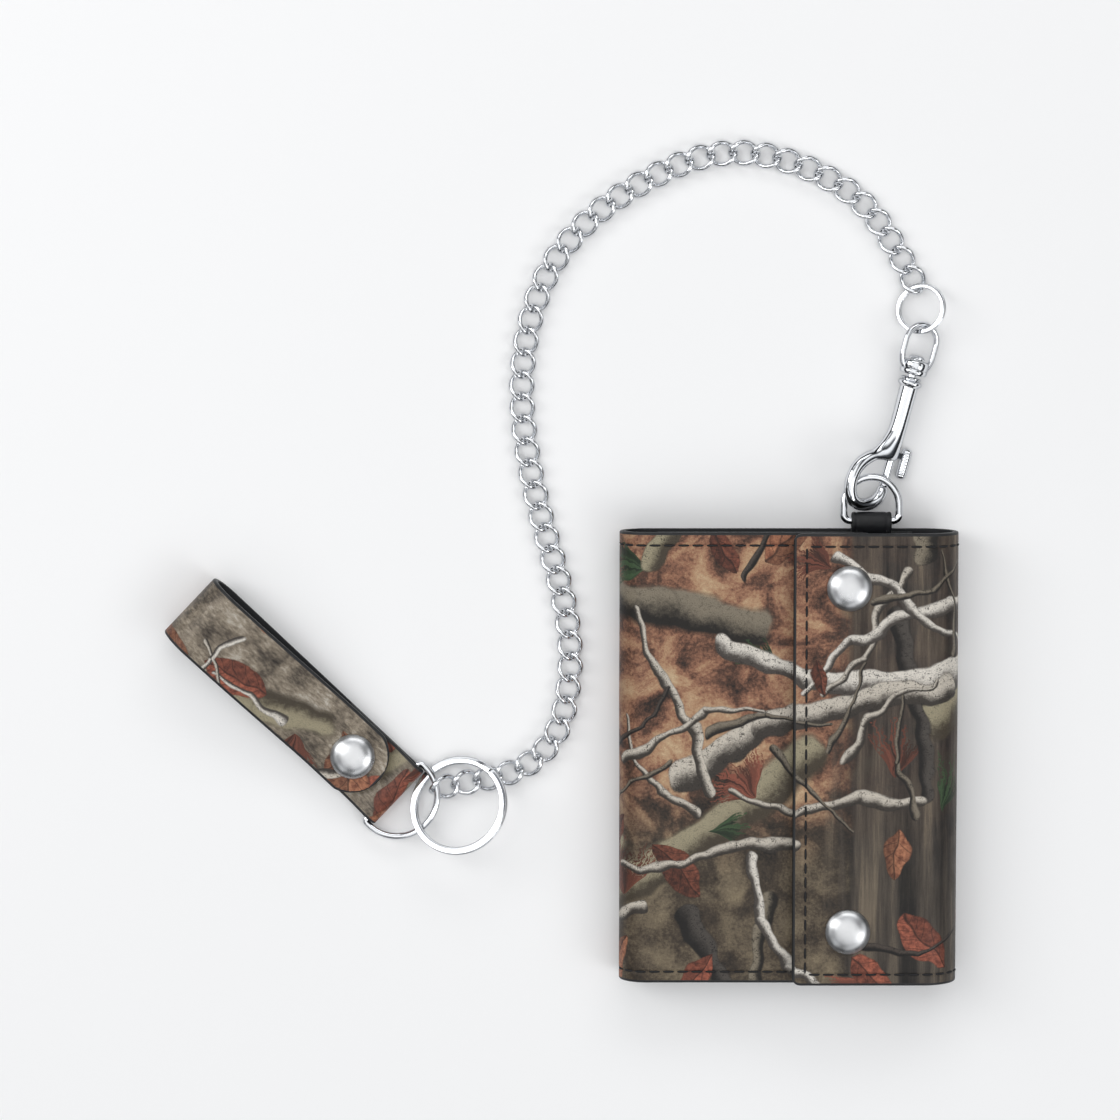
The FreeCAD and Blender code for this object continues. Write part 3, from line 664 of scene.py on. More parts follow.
def wallet_ground(p):
    """Blurred forest floor: tan and rust above, grey-brown below, dark trunks at the right."""
    t = p.t
    split = t.node("ShaderNodeSeparateXYZ", {0: p.flat})
    x, y = split.outputs[0], split.outputs[1]
    cloud = t.noise(p.flat, 0.085, 4, 0.6, 0.6)
    fine = t.noise(p.flat, 1.4, 5, 0.7)
    warm = t.ramp(t.add(t.mul(cloud, 0.75), t.mul(fine, 0.25)), [
        (0.38, "#33241B"), (0.45, "#6B4833"), (0.5, "#98694A"), (0.56, "#B28C66"), (0.66, "#C6AD88")])
    cool = t.ramp(t.add(t.mul(cloud, 0.7), t.mul(fine, 0.3)), [
        (0.36, "#2C2520"), (0.47, "#544839"), (0.56, "#776A55"), (0.66, "#928469")])
    low = t.range(t.add(y, t.mul(t.sub(cloud, 0.5), 40.0)), 2.0, -26.0, smooth=True)
    colour = t.mix(low, warm, cool)
    # far trunks: upright streaks, stronger to the right
    streak = t.noise(t.vector("MULTIPLY", p.flat, (1.0, 0.06, 0.0)), 0.17, 6, 0.66)
    trunks = t.ramp(streak, [(0.38, "#1F1C1B"), (0.46, "#3F3934"), (0.55, "#5E554B"), (0.66, "#857865")])
    right = t.range(t.add(x, t.mul(t.sub(streak, 0.5), 14.0)), 9.0, 15.5, smooth=True)
    colour = t.mix(t.mul(right, 0.93), colour, trunks)
    left_dim = t.range(x, -46.0, -30.0, 0.25, 0.0)
    return t.mix(left_dim, colour, srgb("#3A2C22"))


def wander(rng, start, heading, reach, steps, turn, thick, thin):
    """A bending branch from start: (x, y, radius) points, thick at the first and thin at the last."""
    x, y = start
    points = []
    for k in range(steps + 1):
        points.append((x, y, thick + (thin - thick) * k / steps))
        heading += rng.uniform(-turn, turn)
        x += reach / steps * math.cos(heading)
        y += reach / steps * math.sin(heading)
    return points


def spots(rng, count, low, high):
    """count places spread over a rectangle, one at a random point of each upright strip, in random order."""
    wide = (high[0] - low[0]) / count
    strips = rng.sample(range(count), count)
    return [(low[0] + (k + rng.random()) * wide, rng.uniform(low[1], high[1])) for k in strips]


def branches(p, rng, count, low, high, reach, steps, turn, thick, thin, tints, fleck, soft):
    for start in spots(rng, count, low, high):
        heading = rng.uniform(0.0, 2.0 * math.pi)
        size = rng.uniform(0.75, 1.25)
        light, dark = rng.choice(tints)
        points = wander(rng, start, heading, reach * size, steps, turn, thick * size, thin * size)
        p.wood(points, light, dark, fleck, soft)


def scattered(rng, count, low, high, length):
    """(start, end, size) of count short marks that lie any way round."""
    for x, y in spots(rng, count, low, high):
        heading = rng.uniform(0.0, 2.0 * math.pi)
        size = rng.uniform(0.7, 1.2)
        yield (x, y), (x + length * size * math.cos(heading), y + length * size * math.sin(heading)), size


def leaves(p, rng, count, low, high, length, width):
    for start, end, size in scattered(rng, count, low, high, length):
        p.leaf(start, end, width * size, *rng.choice(DRY_LEAF))


def needle_fans(p, rng, count, low, high, length):
    for start, end, _ in scattered(rng, count, low, high, length):
        p.needles(start, end, rng.uniform(28.0, 60.0), 10.0, *rng.choice(NEEDLE_TINT))


def paint_wallet(p):
    """A generic woodland camouflage from a seeded draw: blurred logs, needles, leaves, limbs and twigs."""
    rng = random.Random(WALLET_SEED)
    low, high = (-WALLET_PRINT_X, -HALF_HEIGHT), (WALLET_PRINT_X, HALF_HEIGHT)
    branches(p, rng, 4, low, high, 70.0, 3, 0.25, 4.6, 4.0, LOG_WOOD, 0.5, 1.6)
    needle_fans(p, rng, 9, low, high, 15.0)
    branches(p, rng, 5, low, high, 46.0, 3, 0.35, 2.6, 1.5, LOG_WOOD, 0.9, 0.5)
    leaves(p, rng, 7, low, high, 17.0, 4.2)
    branches(p, rng, 2, low, high, 60.0, 3, 0.3, 3.4, 2.2, PALE_WOOD, 1.0, 0.4)
    branches(p, rng, 11, low, high, 40.0, 3, 0.5, 1.4, 0.6, PALE_WOOD, 1.0, 0.25)
    branches(p, rng, 10, low, high, 26.0, 2, 0.6, 0.9, 0.35, TWIG_WOOD, 0.8, 0.25)
    leaves(p, rng, 4, low, high, 12.0, 3.0)


def strap_ground(p):
    t = p.t
    cloud = t.noise(p.flat, 0.12, 4, 0.6, 0.4)
    fine = t.noise(t.vector("MULTIPLY", p.flat, (0.5, 1.4, 0.0)), 1.0, 5, 0.7)
    return t.ramp(t.add(t.mul(cloud, 0.6), t.mul(fine, 0.4)), [
        (0.34, "#352D27"), (0.45, "#6B6154"), (0.55, "#978B79"), (0.68, "#C9C2B6")])


def paint_strap(p):
    """The same generic camouflage at the strap's scale: bark, dry leaves and a few twigs."""
    rng = random.Random(STRAP_SEED)
    low, high = STRAP_PRINT
    branches(p, rng, 3, low, high, 26.0, 2, 0.3, 4.4, 3.2, LOG_WOOD, 0.4, 1.8)
    leaves(p, rng, 8, low, high, 24.0, 5.0)
    needle_fans(p, rng, 3, low, high, 12.0)
    branches(p, rng, 6, low, high, 20.0, 2, 0.5, 0.9, 0.4, PALE_WOOD, 0.9, 0.25)


def printed_leather(name, ground, paint, gloss, window=(-60, 90)):
    material, tree, shader = new_material(name)
    p = Print(tree, ground, window)
    paint(p)
    mottling = tree.range(tree.noise(p.flat, 4.6, 5, 0.8), 0.3, 0.7, 0.66, 1.34)
    tint = tree.grey(mottling)
    colour = tree.mix(1.0, p.colour, tint, "MULTIPLY")
    colour = tree.node("ShaderNodeGamma", {"Color": colour, "Gamma": 1.24}).outputs[0]
    colour = tree.node("ShaderNodeHueSaturation", {
        "Color": colour, "Saturation": 0.86, "Value": 1.06}).outputs[0]
    link(tree, colour, shader.inputs["Base Color"])
    grain = tree.cells(p.flat, 1.9)
    pores = tree.noise(p.flat, 7.0, 3, 0.6)
    wear = tree.noise(p.flat, 0.22, 4, 0.6)
    rough = tree.add(tree.range(wear, 0.3, 0.7, gloss, gloss + 0.12), tree.mul(grain, 0.1))
    link(tree, rough, shader.inputs["Roughness"])
    shader.inputs["Specular IOR Level"].default_value = 0.34
    relief = tree.add(tree.mul(grain, -0.5), tree.mul(pores, 0.25))
    relief = tree.add(relief, tree.mul(wear, 1.2))
    add_bump(tree, shader, relief, 0.35, 0.1)
    return material


# least roughness of each print
WALLET_GLOSS, STRAP_GLOSS = 0.42, 0.36
flap_print = printed_leather("printed_leather_flap", wallet_ground, paint_wallet, WALLET_GLOSS, (
    0, WALLET_PRINT_X))
front_print = printed_leather("printed_leather_front", wallet_ground, paint_wallet, WALLET_GLOSS, (
    -WALLET_PRINT_X, 4))
back_print = printed_leather("printed_leather_back", wallet_ground, paint_wallet, WALLET_GLOSS)
strap_print = printed_leather("printed_leather_strap", strap_ground, paint_strap, STRAP_GLOSS)
edge_paint = black_leather("black_edge_paint", "#0B0C0E", "#1B1D20", 0.4, 900.0, 0.25)
inner_black = black_leather("black_lining", "#101114", "#1D1F23", 0.55, 1400.0, 0.4)
tab_black = black_leather("black_leather", "#0A0B0E", "#191B20", 0.42, 700.0, 0.5)
thread = black_leather("black_thread", "#08080A", "#1A1A1D", 0.6, 2400.0, 0.6)
chrome = metal("bright_chrome", "#E9EBEE", 0.05, 0.05)
satin = metal("satin_nickel", "#D9DADB", 0.24, 0.1, 0.08)
steel = metal("spring_steel", "#B9BBBE", 0.2, 0.1)
backing = [edge_paint, inner_black]


# ---- wallet leather ----

def fold_at(x_flat, radius, sign, top):
    """at(s) for a flat piece that turns into a quarter round. sign is the side of the fold, top +1 or -1."""
    def at(s):
        past = (s - x_flat) * sign
        z_flat = 2 * radius if top > 0 else 0.0
        if past <= 0:
            return np.array([s, 0, z_flat]), np.array([0, 0, float(top)])
        a = past / radius
        normal = np.array([sign * math.sin(a), 0, top * math.cos(a)])
        return np.array([x_flat, 0, radius]) + normal * radius, normal
    return at


def dent(x, y, places, radius, depth):
    """How far leather is pressed down round snap caps at places."""
    total = 0.0
    for cap_x, cap_y in places:
        d = np.hypot(x - cap_x, y - cap_y)
        total = total - depth * np.exp(-((d - radius) / 1.3) ** 2)
    return total


SNAPS = [(SNAP_X, SNAP_Y), (SNAP_X, -SNAP_Y)]
# how far a seam stops short of the middle of a fold
SEAM_END = 0.3
TOP_LINE = HALF_HEIGHT - STITCH_INSET - 0.3
LOW_LINE = -(HALF_HEIGHT - STITCH_INSET + 0.1)
FLAP_LINE = FLAP_EDGE + 3.1
FOLD_END_RIGHT = RIGHT_X + RIGHT_R * math.pi / 2
FOLD_END_LEFT = LEFT_X - LEFT_R * math.pi / 2


def groove(distance):
    return -0.17 * np.exp(-(distance / 0.33) ** 2)


def swell(s, y, x0, x1):
    """Gentle cushioned shape between two folds or edges."""
    u = np.clip((s - x0) / (x1 - x0), 0, 1)
    v = np.clip((np.asarray(y) + HALF_HEIGHT) / (2 * HALF_HEIGHT), 0, 1)
    across = 1 - (2 * u - 1) ** 4
    ends = 1 - np.abs(2 * v - 1) ** 3
    return 0.32 * across * ends + 0.07 * np.sin(0.13 * s + 0.9) * np.sin(0.09 * np.asarray(y) + 0.4)


def flap_height(s, y):
    h = groove(y - TOP_LINE) * (s > FLAP_LINE - 0.4) + groove(y - LOW_LINE) * (s > FLAP_LINE - 0.4)
    if abs(s - FLAP_LINE) < 2:
        h = h + groove(s - FLAP_LINE) * ((y < TOP_LINE + 0.4) & (y > LOW_LINE - 0.4))
    return h + dent(s, y, SNAPS, CAP_R, CAP_DENT) + swell(s, y, FLAP_EDGE, FOLD_END_RIGHT)


def panel_height(s, y):
    return groove(y - TOP_LINE) + groove(y - LOW_LINE) + swell(s, y, FOLD_END_LEFT, 12.0)


def back_height(s, y):
    return groove(y - TOP_LINE) * 0.8 + groove(y - LOW_LINE) * 0.8


def corner_half(s, edge, sign):
    d = (s - edge) * sign
    if d >= CORNER:
        return HALF_HEIGHT
    return HALF_HEIGHT - (CORNER - math.sqrt(CORNER ** 2 - (CORNER - max(d, 0.0)) ** 2))


def surface(at, height, across=(0, 1, 0), base=(0, 0, 0)):
    across = unit(across)

    def place(s, y):
        point, normal = at(s)
        return np.asarray(base) + point + across * y + normal * float(height(s, np.array(y))), normal
    return place


y_places = stations(-HALF_HEIGHT, HALF_HEIGHT, 1.8, (LOW_LINE, TOP_LINE))



def edge_rows(x0, x1):
    """Seams along the top and the bottom edge."""
    return [((x0, line), (x1, line)) for line in (TOP_LINE, LOW_LINE)]


flap_at = fold_at(RIGHT_X, RIGHT_R, 1, 1)
flap = leather(
    "flap_leather", flap_at, stations(FLAP_EDGE, FOLD_END_RIGHT, 1.3, (FLAP_LINE,), (True, False)),
    y_places, COVER,
    [flap_print] + backing, half=lambda s: corner_half(s, FLAP_EDGE, 1), free=(True, False),
    height=flap_height)
flap_thread = stitches("flap_stitching", surface(flap_at, flap_height), [
    ((FLAP_LINE, LOW_LINE), (FLAP_LINE, TOP_LINE)), *edge_rows(FLAP_LINE + 0.5, FOLD_END_RIGHT - SEAM_END)],
    thread)

front_at = fold_at(LEFT_X, LEFT_R, -1, 1)
front = leather(
    "front_panel_leather", front_at, stations(FOLD_END_LEFT, PANEL_EDGE, 1.3, (), (False, True)), y_places,
    COVER,
    [front_print] + backing, half=lambda s: corner_half(s, PANEL_EDGE, -1), free=(False, True),
    height=panel_height)
front_thread = stitches("front_panel_stitching", surface(front_at, panel_height),
                        edge_rows(FOLD_END_LEFT + SEAM_END, PANEL_EDGE - 2.5), thread)

back_right_at = fold_at(RIGHT_X, RIGHT_R, 1, -1)
back = leather(
    "back_leather", back_right_at, stations(LEFT_X, FOLD_END_RIGHT, 1.6, (), (False, False)), y_places, COVER,
    [back_print] + backing, height=back_height)
back_thread = stitches("back_stitching", surface(back_right_at, back_height),
                       edge_rows(LEFT_X, FOLD_END_RIGHT - SEAM_END), thread)
back_left_at = fold_at(LEFT_X, LEFT_R, -1, -1)
back_left = leather(
    "left_fold_leather", back_left_at, stations(FOLD_END_LEFT, LEFT_X, 0.8, (), (False, False)), y_places,
    COVER,
    [front_print] + backing, height=back_height)
left_thread = stitches("left_fold_stitching", surface(back_left_at, back_height),
                       edge_rows(FOLD_END_LEFT + SEAM_END, LEFT_X), thread)

for piece in (flap, flap_thread):
    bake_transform(piece)
for piece in (front, front_thread):
    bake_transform(piece)
for piece in (back, back_thread):
    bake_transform(piece)
for piece in (back_left, left_thread):
    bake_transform(piece)
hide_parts("flap_cover", "right_fold")
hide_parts("front_cover")
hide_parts("back_cover")
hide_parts("left_fold")


# ---- linings and pockets ----

def offset_at(at, depth):
    def inner(s):
        point, normal = at(s)
        return point - normal * depth, -normal
    return inner


def flat_wave(s, y):
    return 0.05 * np.sin(0.11 * s + 0.7) * np.sin(0.08 * np.asarray(y))


lining_y = stations(-HALF_HEIGHT + 0.5, HALF_HEIGHT - 0.5, 3.0)
blacks = [inner_black, edge_paint, inner_black]


def lining(name, at, s, reverse_depth, node):
    """Inner layer that turns the fold with the cover."""
    obj = leather(name, offset_at(at, reverse_depth), s, lining_y, LINING, blacks, free=(True, True))
    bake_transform(obj)
    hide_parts(node)


lining("flap_lining_leather", flap_at, stations(FLAP_EDGE + 0.4, FOLD_END_RIGHT, 1.3), COVER + LINING,
       "flap_lining")
lining("front_lining_leather", front_at, stations(FOLD_END_LEFT, PANEL_EDGE - 0.5, 1.3), COVER + LINING,
       "front_lining")


def pocket(node, body, up):
    """A flat black layer with a stitched slot edge, in the room of its CAD node."""
    lo, hi = (np.array(c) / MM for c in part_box(node))
    z = hi[2] if up > 0 else lo[2]
    normal = np.array([0, 0, float(up)])
    line = hi[0] - 1.6
    notch = None
    fine = [line]
    y_fine = []
    if up > 0 and hi[0] > TAB_X - TAB_HALF and node != "bill_lining":
        notch = (TAB_X - TAB_HALF - 0.4, TAB_X + TAB_HALF + 0.4, TAB_ROOT - 0.4, 99.0)
        fine += [notch[0], min(notch[1], hi[0])]
        y_fine = [notch[2]]

    def at(s):
        return np.array([s, 0, z]), normal

    def height(s, y):
        return groove(np.full_like(np.asarray(y, float), s - line)) + flat_wave(s, y) - 0.05

    s = stations(lo[0], hi[0], 3.0, fine)
    y = stations(lo[1], hi[1], 3.0, y_fine)
    obj = leather(node + "_leather", at, s, y, LINING, blacks, free=(True, True), height=height, notch=notch)
    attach(obj, body)
    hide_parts(node)
    top = notch[2] - 1 if notch and notch[0] < line < notch[1] else hi[1] - 2
    seam = stitches(node + "_stitching", surface(at, height), [((line, lo[1] + 2), (line, top))], thread)
    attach(seam, body)


for number in (1, 2, 3):
    pocket("back_pocket_%d" % number, "back_panel", 1)
    pocket("front_pocket_%d" % number, "front_panel", -1)
pocket("bill_lining", "back_panel", 1)


# ---- snap caps ----

def cap_mesh(origin, axis, height):
    """Domed cap with a rolled rim and the stem under it."""
    profile = [(0, height), (0.9, height - 0.03), (1.9, height - 0.14), (2.9, height - 0.36), (
        3.8, height - 0.70),
               (4.5, height - 1.10), (5.0, height - 1.50), (5.3, 0.42), (5.4, 0.22), (5.36, 0.04), (
               5.2, -0.06),
               (4.9, -0.1), (1.6, -0.1), (1.6, -1.2), (0, -1.2)]
    fine = smooth_line(profile[:11], 44).tolist() + profile[11:]
    fine[0] = (0, height)
    return lathe(fine, origin, axis, 72)


cap_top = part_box("flap_snap_caps")[1][2] / MM
verts, faces = merge([cap_mesh((x, y, FLAP_TOP), (0, 0, 1), cap_top - FLAP_TOP) for x, y in SNAPS])
caps = add_object("flap_caps", verts, faces, [satin])
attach(caps, "closing_flap")
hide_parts("flap_snap_caps")


# ---- hang tab ----

bar_y, bar_z = RING_BAR
tab_r = 2.1
tab_low, tab_high = 4.25, 6.45
tab_seam_x = 3.6
tab_line = [(TAB_ROOT, tab_low), (TAB_ROOT + 8, tab_low), (bar_y - 4, tab_low)]
tab_line += arc_points(RING_BAR, tab_r, -90, 90, 22)
tab_line += [(bar_y - 1.3, bar_z + 2.0), (bar_y - 2.4, bar_z + 1.55), (bar_y - 3.4, bar_z + 0.95),
             (bar_y - 4.4, bar_z + 0.4), (bar_y - 5.6, 6.5), (bar_y - 8, tab_high), (TAB_ROOT, tab_high)]
tab_track, tab_length = track(tab_line)


def tab_at(s):
    (y, z), (ny, nz) = tab_track(s)
    return np.array([0, y, z]), -np.array([0, ny, nz])


def tab_height(s, y):
    return groove(np.abs(np.asarray(y)) - tab_seam_x) * 0.8


tab = leather(
    "hang_tab_leather", tab_at, stations(0, tab_length, 0.45), stations(
    -TAB_HALF, TAB_HALF, 0.5, (-tab_seam_x, tab_seam_x)), 1.05,
    [tab_black, edge_paint, inner_black], across=(1, 0, 0), base=(TAB_X, 0, 0), free=(True, True),
    height=tab_height)
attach(tab, "back_panel")
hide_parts("hang_tab")
tab_seam = stitches("hang_tab_stitching", surface(tab_at, tab_height, (1, 0, 0), (TAB_X, 0, 0)), [
    ((tab_length - 21, x), (tab_length - 7, x)) for x in (-tab_seam_x, tab_seam_x)], thread, 2.6, 1.9, 0.2)
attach(tab_seam, "back_panel")


# ---- belt loop ----

STRAP_S = np.array([math.cos(STRAP_HEADING), math.sin(STRAP_HEADING), 0.0])
STRAP_N = np.array([-math.sin(STRAP_HEADING), math.cos(STRAP_HEADING), 0.0])


def strap_line(points):
    along, length = track(points)

    def at(s):
        (a, z), (na, nz) = along(s)
        return STRAP_S * a + np.array([0, 0, z]), -STRAP_S * na - np.array([0, 0, nz])
    return at, length


def smooth_track(points, count=240, passes=3):
    """Evenly spaced points on a line with its bends eased."""
    p = np.asarray(points, float)
    length = np.concatenate([[0], np.cumsum(np.linalg.norm(np.diff(p, axis=0), axis=1))])
    places = np.linspace(0, length[-1], count)
    p = np.stack([np.interp(places, length, p[:, k]) for k in (0, 1)], 1)
    for _ in range(passes):
        p[1:-1] = (p[:-2] + 2 * p[1:-1] + p[2:]) / 4
    return p


far = (STRAP_FAR, STRAP_FAR_R)
near = (STRAP_NEAR_R, STRAP_NEAR_R)
SPLIT_DEG = -50
base_points = [(24.0, 2.6), (16.0, 2.6), (8.8, 2.62), (5.4, 3.7), (3.6, 4.42)]
base_points += arc_points(near, STRAP_NEAR_R, 90, 270, 20)
base_points += [(20.0, 0), (40.0, 0)] + arc_points(far, STRAP_FAR_R, -90, SPLIT_DEG, 14)
base_at, base_length = strap_line(smooth_track(base_points, 300, 4))
front_points = arc_points(far, STRAP_FAR_R, SPLIT_DEG, 90, 40)
front_points += [(52.0, 12.45), (42.0, 10.35), (32.0, 8.0), (25.5, 6.3), (21.5, 5.72), (14.0, 5.7), (
    6.6, 5.7)]
front_strap_at, front_length = strap_line(smooth_track(front_points, 300, 10))
strap_leathers = [strap_print, edge_paint, inner_black]
strap_y = stations(-STRAP_HALF, STRAP_HALF, 0.8)


def tip_half(s):
    d = max(front_length - s, 0.03)
    r = STRAP_HALF + 0.4
    return STRAP_HALF if d >= r * 0.93 else min(STRAP_HALF, math.sqrt(r * r - (r - d) ** 2))


def strap_height(s, y):
    cap = front_length - (STRAP_SNAP_S - 6.6)
    return dent(s, np.asarray(y), [(cap, 0)], 5.3, 0.14)


strap_front = leather(
    "belt_strap_front_leather", front_strap_at, stations(0, front_length, 0.8, (), (False, True)), strap_y,
    STRAP,
    strap_leathers, across=STRAP_N, base=STRAP_START, half=tip_half, free=(False, True), height=strap_height,
    print_at=lambda s: front_length - s)
strap_base = leather(
    "belt_strap_base_leather", base_at, stations(0, base_length, 0.8, (), (True, False)), strap_y, STRAP,
    strap_leathers, across=STRAP_N, base=STRAP_START, free=(True, False),
    print_at=lambda s: s - 25.0)


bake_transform(strap_front)
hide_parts("belt_strap_front")
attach(strap_base, "belt_strap")
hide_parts("belt_strap_base")

cap_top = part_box("strap_snap_cap")[1][2] / MM
snap_place = STRAP_START + STRAP_S * STRAP_SNAP_S + np.array([0, 0, STRAP_SNAP_Z])
verts, faces = cap_mesh(snap_place, (0, 0, 1), cap_top - STRAP_SNAP_Z)
strap_cap = add_object("strap_cap", verts, faces, [satin])
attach(strap_cap, "strap_front")
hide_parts("strap_snap_cap")


# ---- bolt snap ----

def hook_frame(roll):
    v = np.array([math.sin(HOOK_HEADING), math.cos(HOOK_HEADING), 0])
    flat = np.array([math.cos(HOOK_HEADING), -math.sin(HOOK_HEADING), 0])
    up = np.array([0, 0, 1.0])
    return flat * math.cos(roll) - up * math.sin(roll), v, flat * math.sin(roll) + up * math.cos(roll)


U, V, W = hook_frame(HOOK_ROLL)


def in_hook(points):
    p = np.asarray(points, float)
    return HOOK_POINT + p[:, :1] * U + p[:, 1:2] * V + p[:, 2:3] * W


# stations down the casting: outer rail, inner rail, half thickness
HOOK_RAILS = [
    (-2.55, 18.4, 1.65, 18.4, 2.1), (-2.5, 15.0, 1.62, 15.0, 2.05), (-2.4, 11.0, 1.62, 11.0, 1.98),
    (-2.55, 7.6, 1.68, 7.0, 1.9), (-3.4, 4.9, 1.8, 3.2, 1.75), (-4.5, 3.0, 1.2, 0.0, 1.62),
    (-5.9, 1.55, -1.6, -0.35, 1.5), (-7.7, 0.45, -4.3, -0.75, 1.42), (-9.6, -1.3, -6.6, -2.5, 1.4),
    (-10.9, -3.8, -7.9, -4.4, 1.4), (-11.3, -6.9, -8.3, -7.0, 1.4), (-10.7, -9.7, -7.9, -8.8, 1.4),
    (-8.7, -12.4, -6.9, -10.1, 1.4), (-5.6, -13.4, -5.1, -10.5, 1.4), (-2.0, -12.7, -3.2, -9.9, 1.38),
    (0.5, -10.6, -1.9, -8.9, 1.34), (1.35, -8.4, -1.3, -7.8, 1.28), (1.3, -7.0, -1.2, -6.9, 1.15)]


def hook_casting():
    rails = smooth_line(HOOK_RAILS, 92)
    centre = np.stack([(rails[:, 0] + rails[:, 2]) / 2, (rails[:, 1] + rails[:, 3]) / 2], 1)
    sides = 28
    rings = []
    for (ou, ov, iu, iv, thick), (cu, cv) in zip(rails, centre):
        ring = []
        for k in range(sides):
            a = 2 * math.pi * k / sides
            c, s = math.cos(a), math.sin(a)
            c = math.copysign(abs(c) ** 0.9, c)
            s = math.copysign(abs(s) ** 0.9, s)
            ring.append((cu + (iu - ou) / 2 * c, cv + (iv - ov) / 2 * c, thick * s))
        rings.append(ring)
    # rounded tip
    ou, ov, iu, iv, thick = rails[-1]
    cu, cv = centre[-1]
    for shrink, ahead in ((0.86, 0.28), (0.6, 0.46), (0.3, 0.55)):
        rings.append([(cu + (u - cu) * shrink, cv + ahead + (v - cv) * shrink, w * shrink) for u, v,
            w in rings[len(rails) - 1]])
    return in_hook([p for ring in rings for p in ring]), tube_faces(len(rings), sides)


shank_foot = HOOK_POINT + U * SHANK_U
neck = lathe([(0, 17.9), (2.1, 17.9), (2.35, 18.2), (2.75, 18.5), (2.9, 18.85), (2.85, 19.2), (2.5, 19.5), (
    2.1, 19.65),
              (2.1, 19.8), (2.45, 19.95), (2.5, 20.15), (2.2, 20.35), (1.2, 20.4), (1.2, 24.7), (1.9, 24.8),
              (1.95, 25.1),
              (1.6, 25.5), (0.9, 25.7), (0, 25.75)], shank_foot, V, 48)
verts, faces = merge([hook_casting(), neck])
hook = add_object("hook_casting", verts, faces, [chrome])
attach(hook, "bolt_snap")
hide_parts("snap_hook")


def ribbed(angle, along):
    return 1.0 + 0.035 * math.sin(along * 9.0) * (abs(along) < 3.2)


thumb_profile = smooth_line([(0, -3.9), (0.55, -3.85), (1.0, -3.6), (1.25, -3.1), (1.3, -2.2), (1.3, 0), (
    1.3, 2.0),
                             (1.25, 2.8), (1.0, 3.3), (0.55, 3.56), (0, 3.6)], 90).tolist()
thumb_profile[0], thumb_profile[-1] = (0, -3.9), (0, 3.6)
thumb = lathe([(max(r, 0), z) for r, z in thumb_profile], HOOK_POINT + U * 4.3, V, 36, ridge=ribbed)
rod = lathe([(0, -6.7), (0.8, -6.7), (1.05, -6.45), (1.1, -6.1), (1.1, 2.4), (0.9, 2.6), (0, 2.6)],
    HOOK_POINT, V, 32)
post = sweep(in_hook([(0.6, 1.5, 0), (2.2, 1.5, 0), (4.3, 1.5, 0)]), lambda i, n: rounded(0.8, 0.5, 0.2, 3),
    up=W)
verts, faces = merge([thumb, rod, post])
bolt = add_object("hook_bolt_piece", verts, faces, [chrome])
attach(bolt, "bolt")
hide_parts("hook_bolt")

EU, EV, EW = hook_frame(EYE_ROLL)


def in_eye(points):
    p = np.asarray(points, float)
    return shank_foot + p[:, :1] * EU + p[:, 1:2] * EV + p[:, 2:3] * EW


barrel = lathe([(1.3, 21.05), (2.7, 21.05), (3.1, 21.2), (3.3, 21.6), (3.3, 22.2), (3.18, 22.35), (
    3.3, 22.5), (3.3, 23.9),
                (3.15, 24.3), (2.8, 24.55), (1.3, 24.6), (1.3, 21.05)], shank_foot, EV, 56)
bow_line = [(-3.1, 22.8), (-3.75, 23.6), (-4.25, 25.2), (-4.3, 27.0)]
bow_line += [(-4.3 * math.cos(a), 28.9 + 4.3 * math.sin(a)) for a in np.radians(np.linspace(0, 180, 25))]
bow_line += [(4.3, 27.0), (4.25, 25.2), (3.75, 23.6), (3.1, 22.8)]
bow_curve = smooth_line([(u, v, 0) for u, v in bow_line], 90)
bow = sweep(in_eye(bow_curve), lambda i, n: circle(0.74, 18, 1.0), up=EW)
verts, faces = merge([barrel, bow])
eye = add_object("swivel_eye_piece", verts, faces, [chrome])
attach(eye, "swivel")
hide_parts("swivel_eye")


# ---- split rings ----

def split_ring(name, node, body, centre, normal, radius, band, height, start_deg):
    """Two close turns of flattened wire that step over each other at the split."""
    normal = unit(normal)
    side = unit(np.cross(normal, (0.2, 1.0, 0.1)))
    other = np.cross(normal, side)
    turn_h = height / 2 - 0.03
    points = []
    for k in range(289):
        q = k / 288
        degrees = 4 + q * 712
        a = math.radians(start_deg + degrees)
        x = np.clip((degrees - 346) / 28, 0, 1)
        step = (x * x * (3 - 2 * x) - 0.5) * (turn_h + 0.06)
        points.append(np.asarray(centre) + (
            side * math.cos(a) + other * math.sin(a)) * radius + normal * step)

    def section(i, n):
        ends = min(i, n - 1 - i)
        size = 0.55 if ends == 0 else 0.88 if ends == 1 else 1.0
        return rounded(band / 2 * size, turn_h / 2 * size, 0.23 * size, 5)

    verts, faces = sweep(points, section, up=normal)
    ring = add_object(name, verts, faces, [chrome])
    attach(ring, body)
    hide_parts(node)


tilt, roll = math.radians(14.0), math.radians(22.5)
small_normal = (-math.sin(roll), math.sin(tilt) * math.cos(roll), math.cos(tilt) * math.cos(roll))
split_ring("small_split_ring_piece", "small_split_ring", "small_ring",
           (31.4, 106.65, 3.25), small_normal, 5.55, 1.2, 1.1, 100)
split_ring("key_split_ring_piece", "key_ring", "key_split_ring",
           (-78.8, -12.3, 5.7), (-0.297, 0.385, 1), 11.15, 1.8, 1.3, 250)


# ---- CAD nodes that keep their shape ----

def repaint(node, material):
    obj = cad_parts[node]
    for slot in obj.material_slots:
        slot.material = material
    if not obj.data.materials:
        obj.data.materials.append(material)


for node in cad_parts:
    if node.startswith("chain_") or node in ("wallet_d_ring", "belt_d_ring"):
        repaint(node, chrome)
    elif "snap_stud" in node or "snap_post" in node or "snap_socket" in node:
        repaint(node, satin)
    elif node == "bolt_spring":
        repaint(node, steel)


# ---- floor, light and camera ----

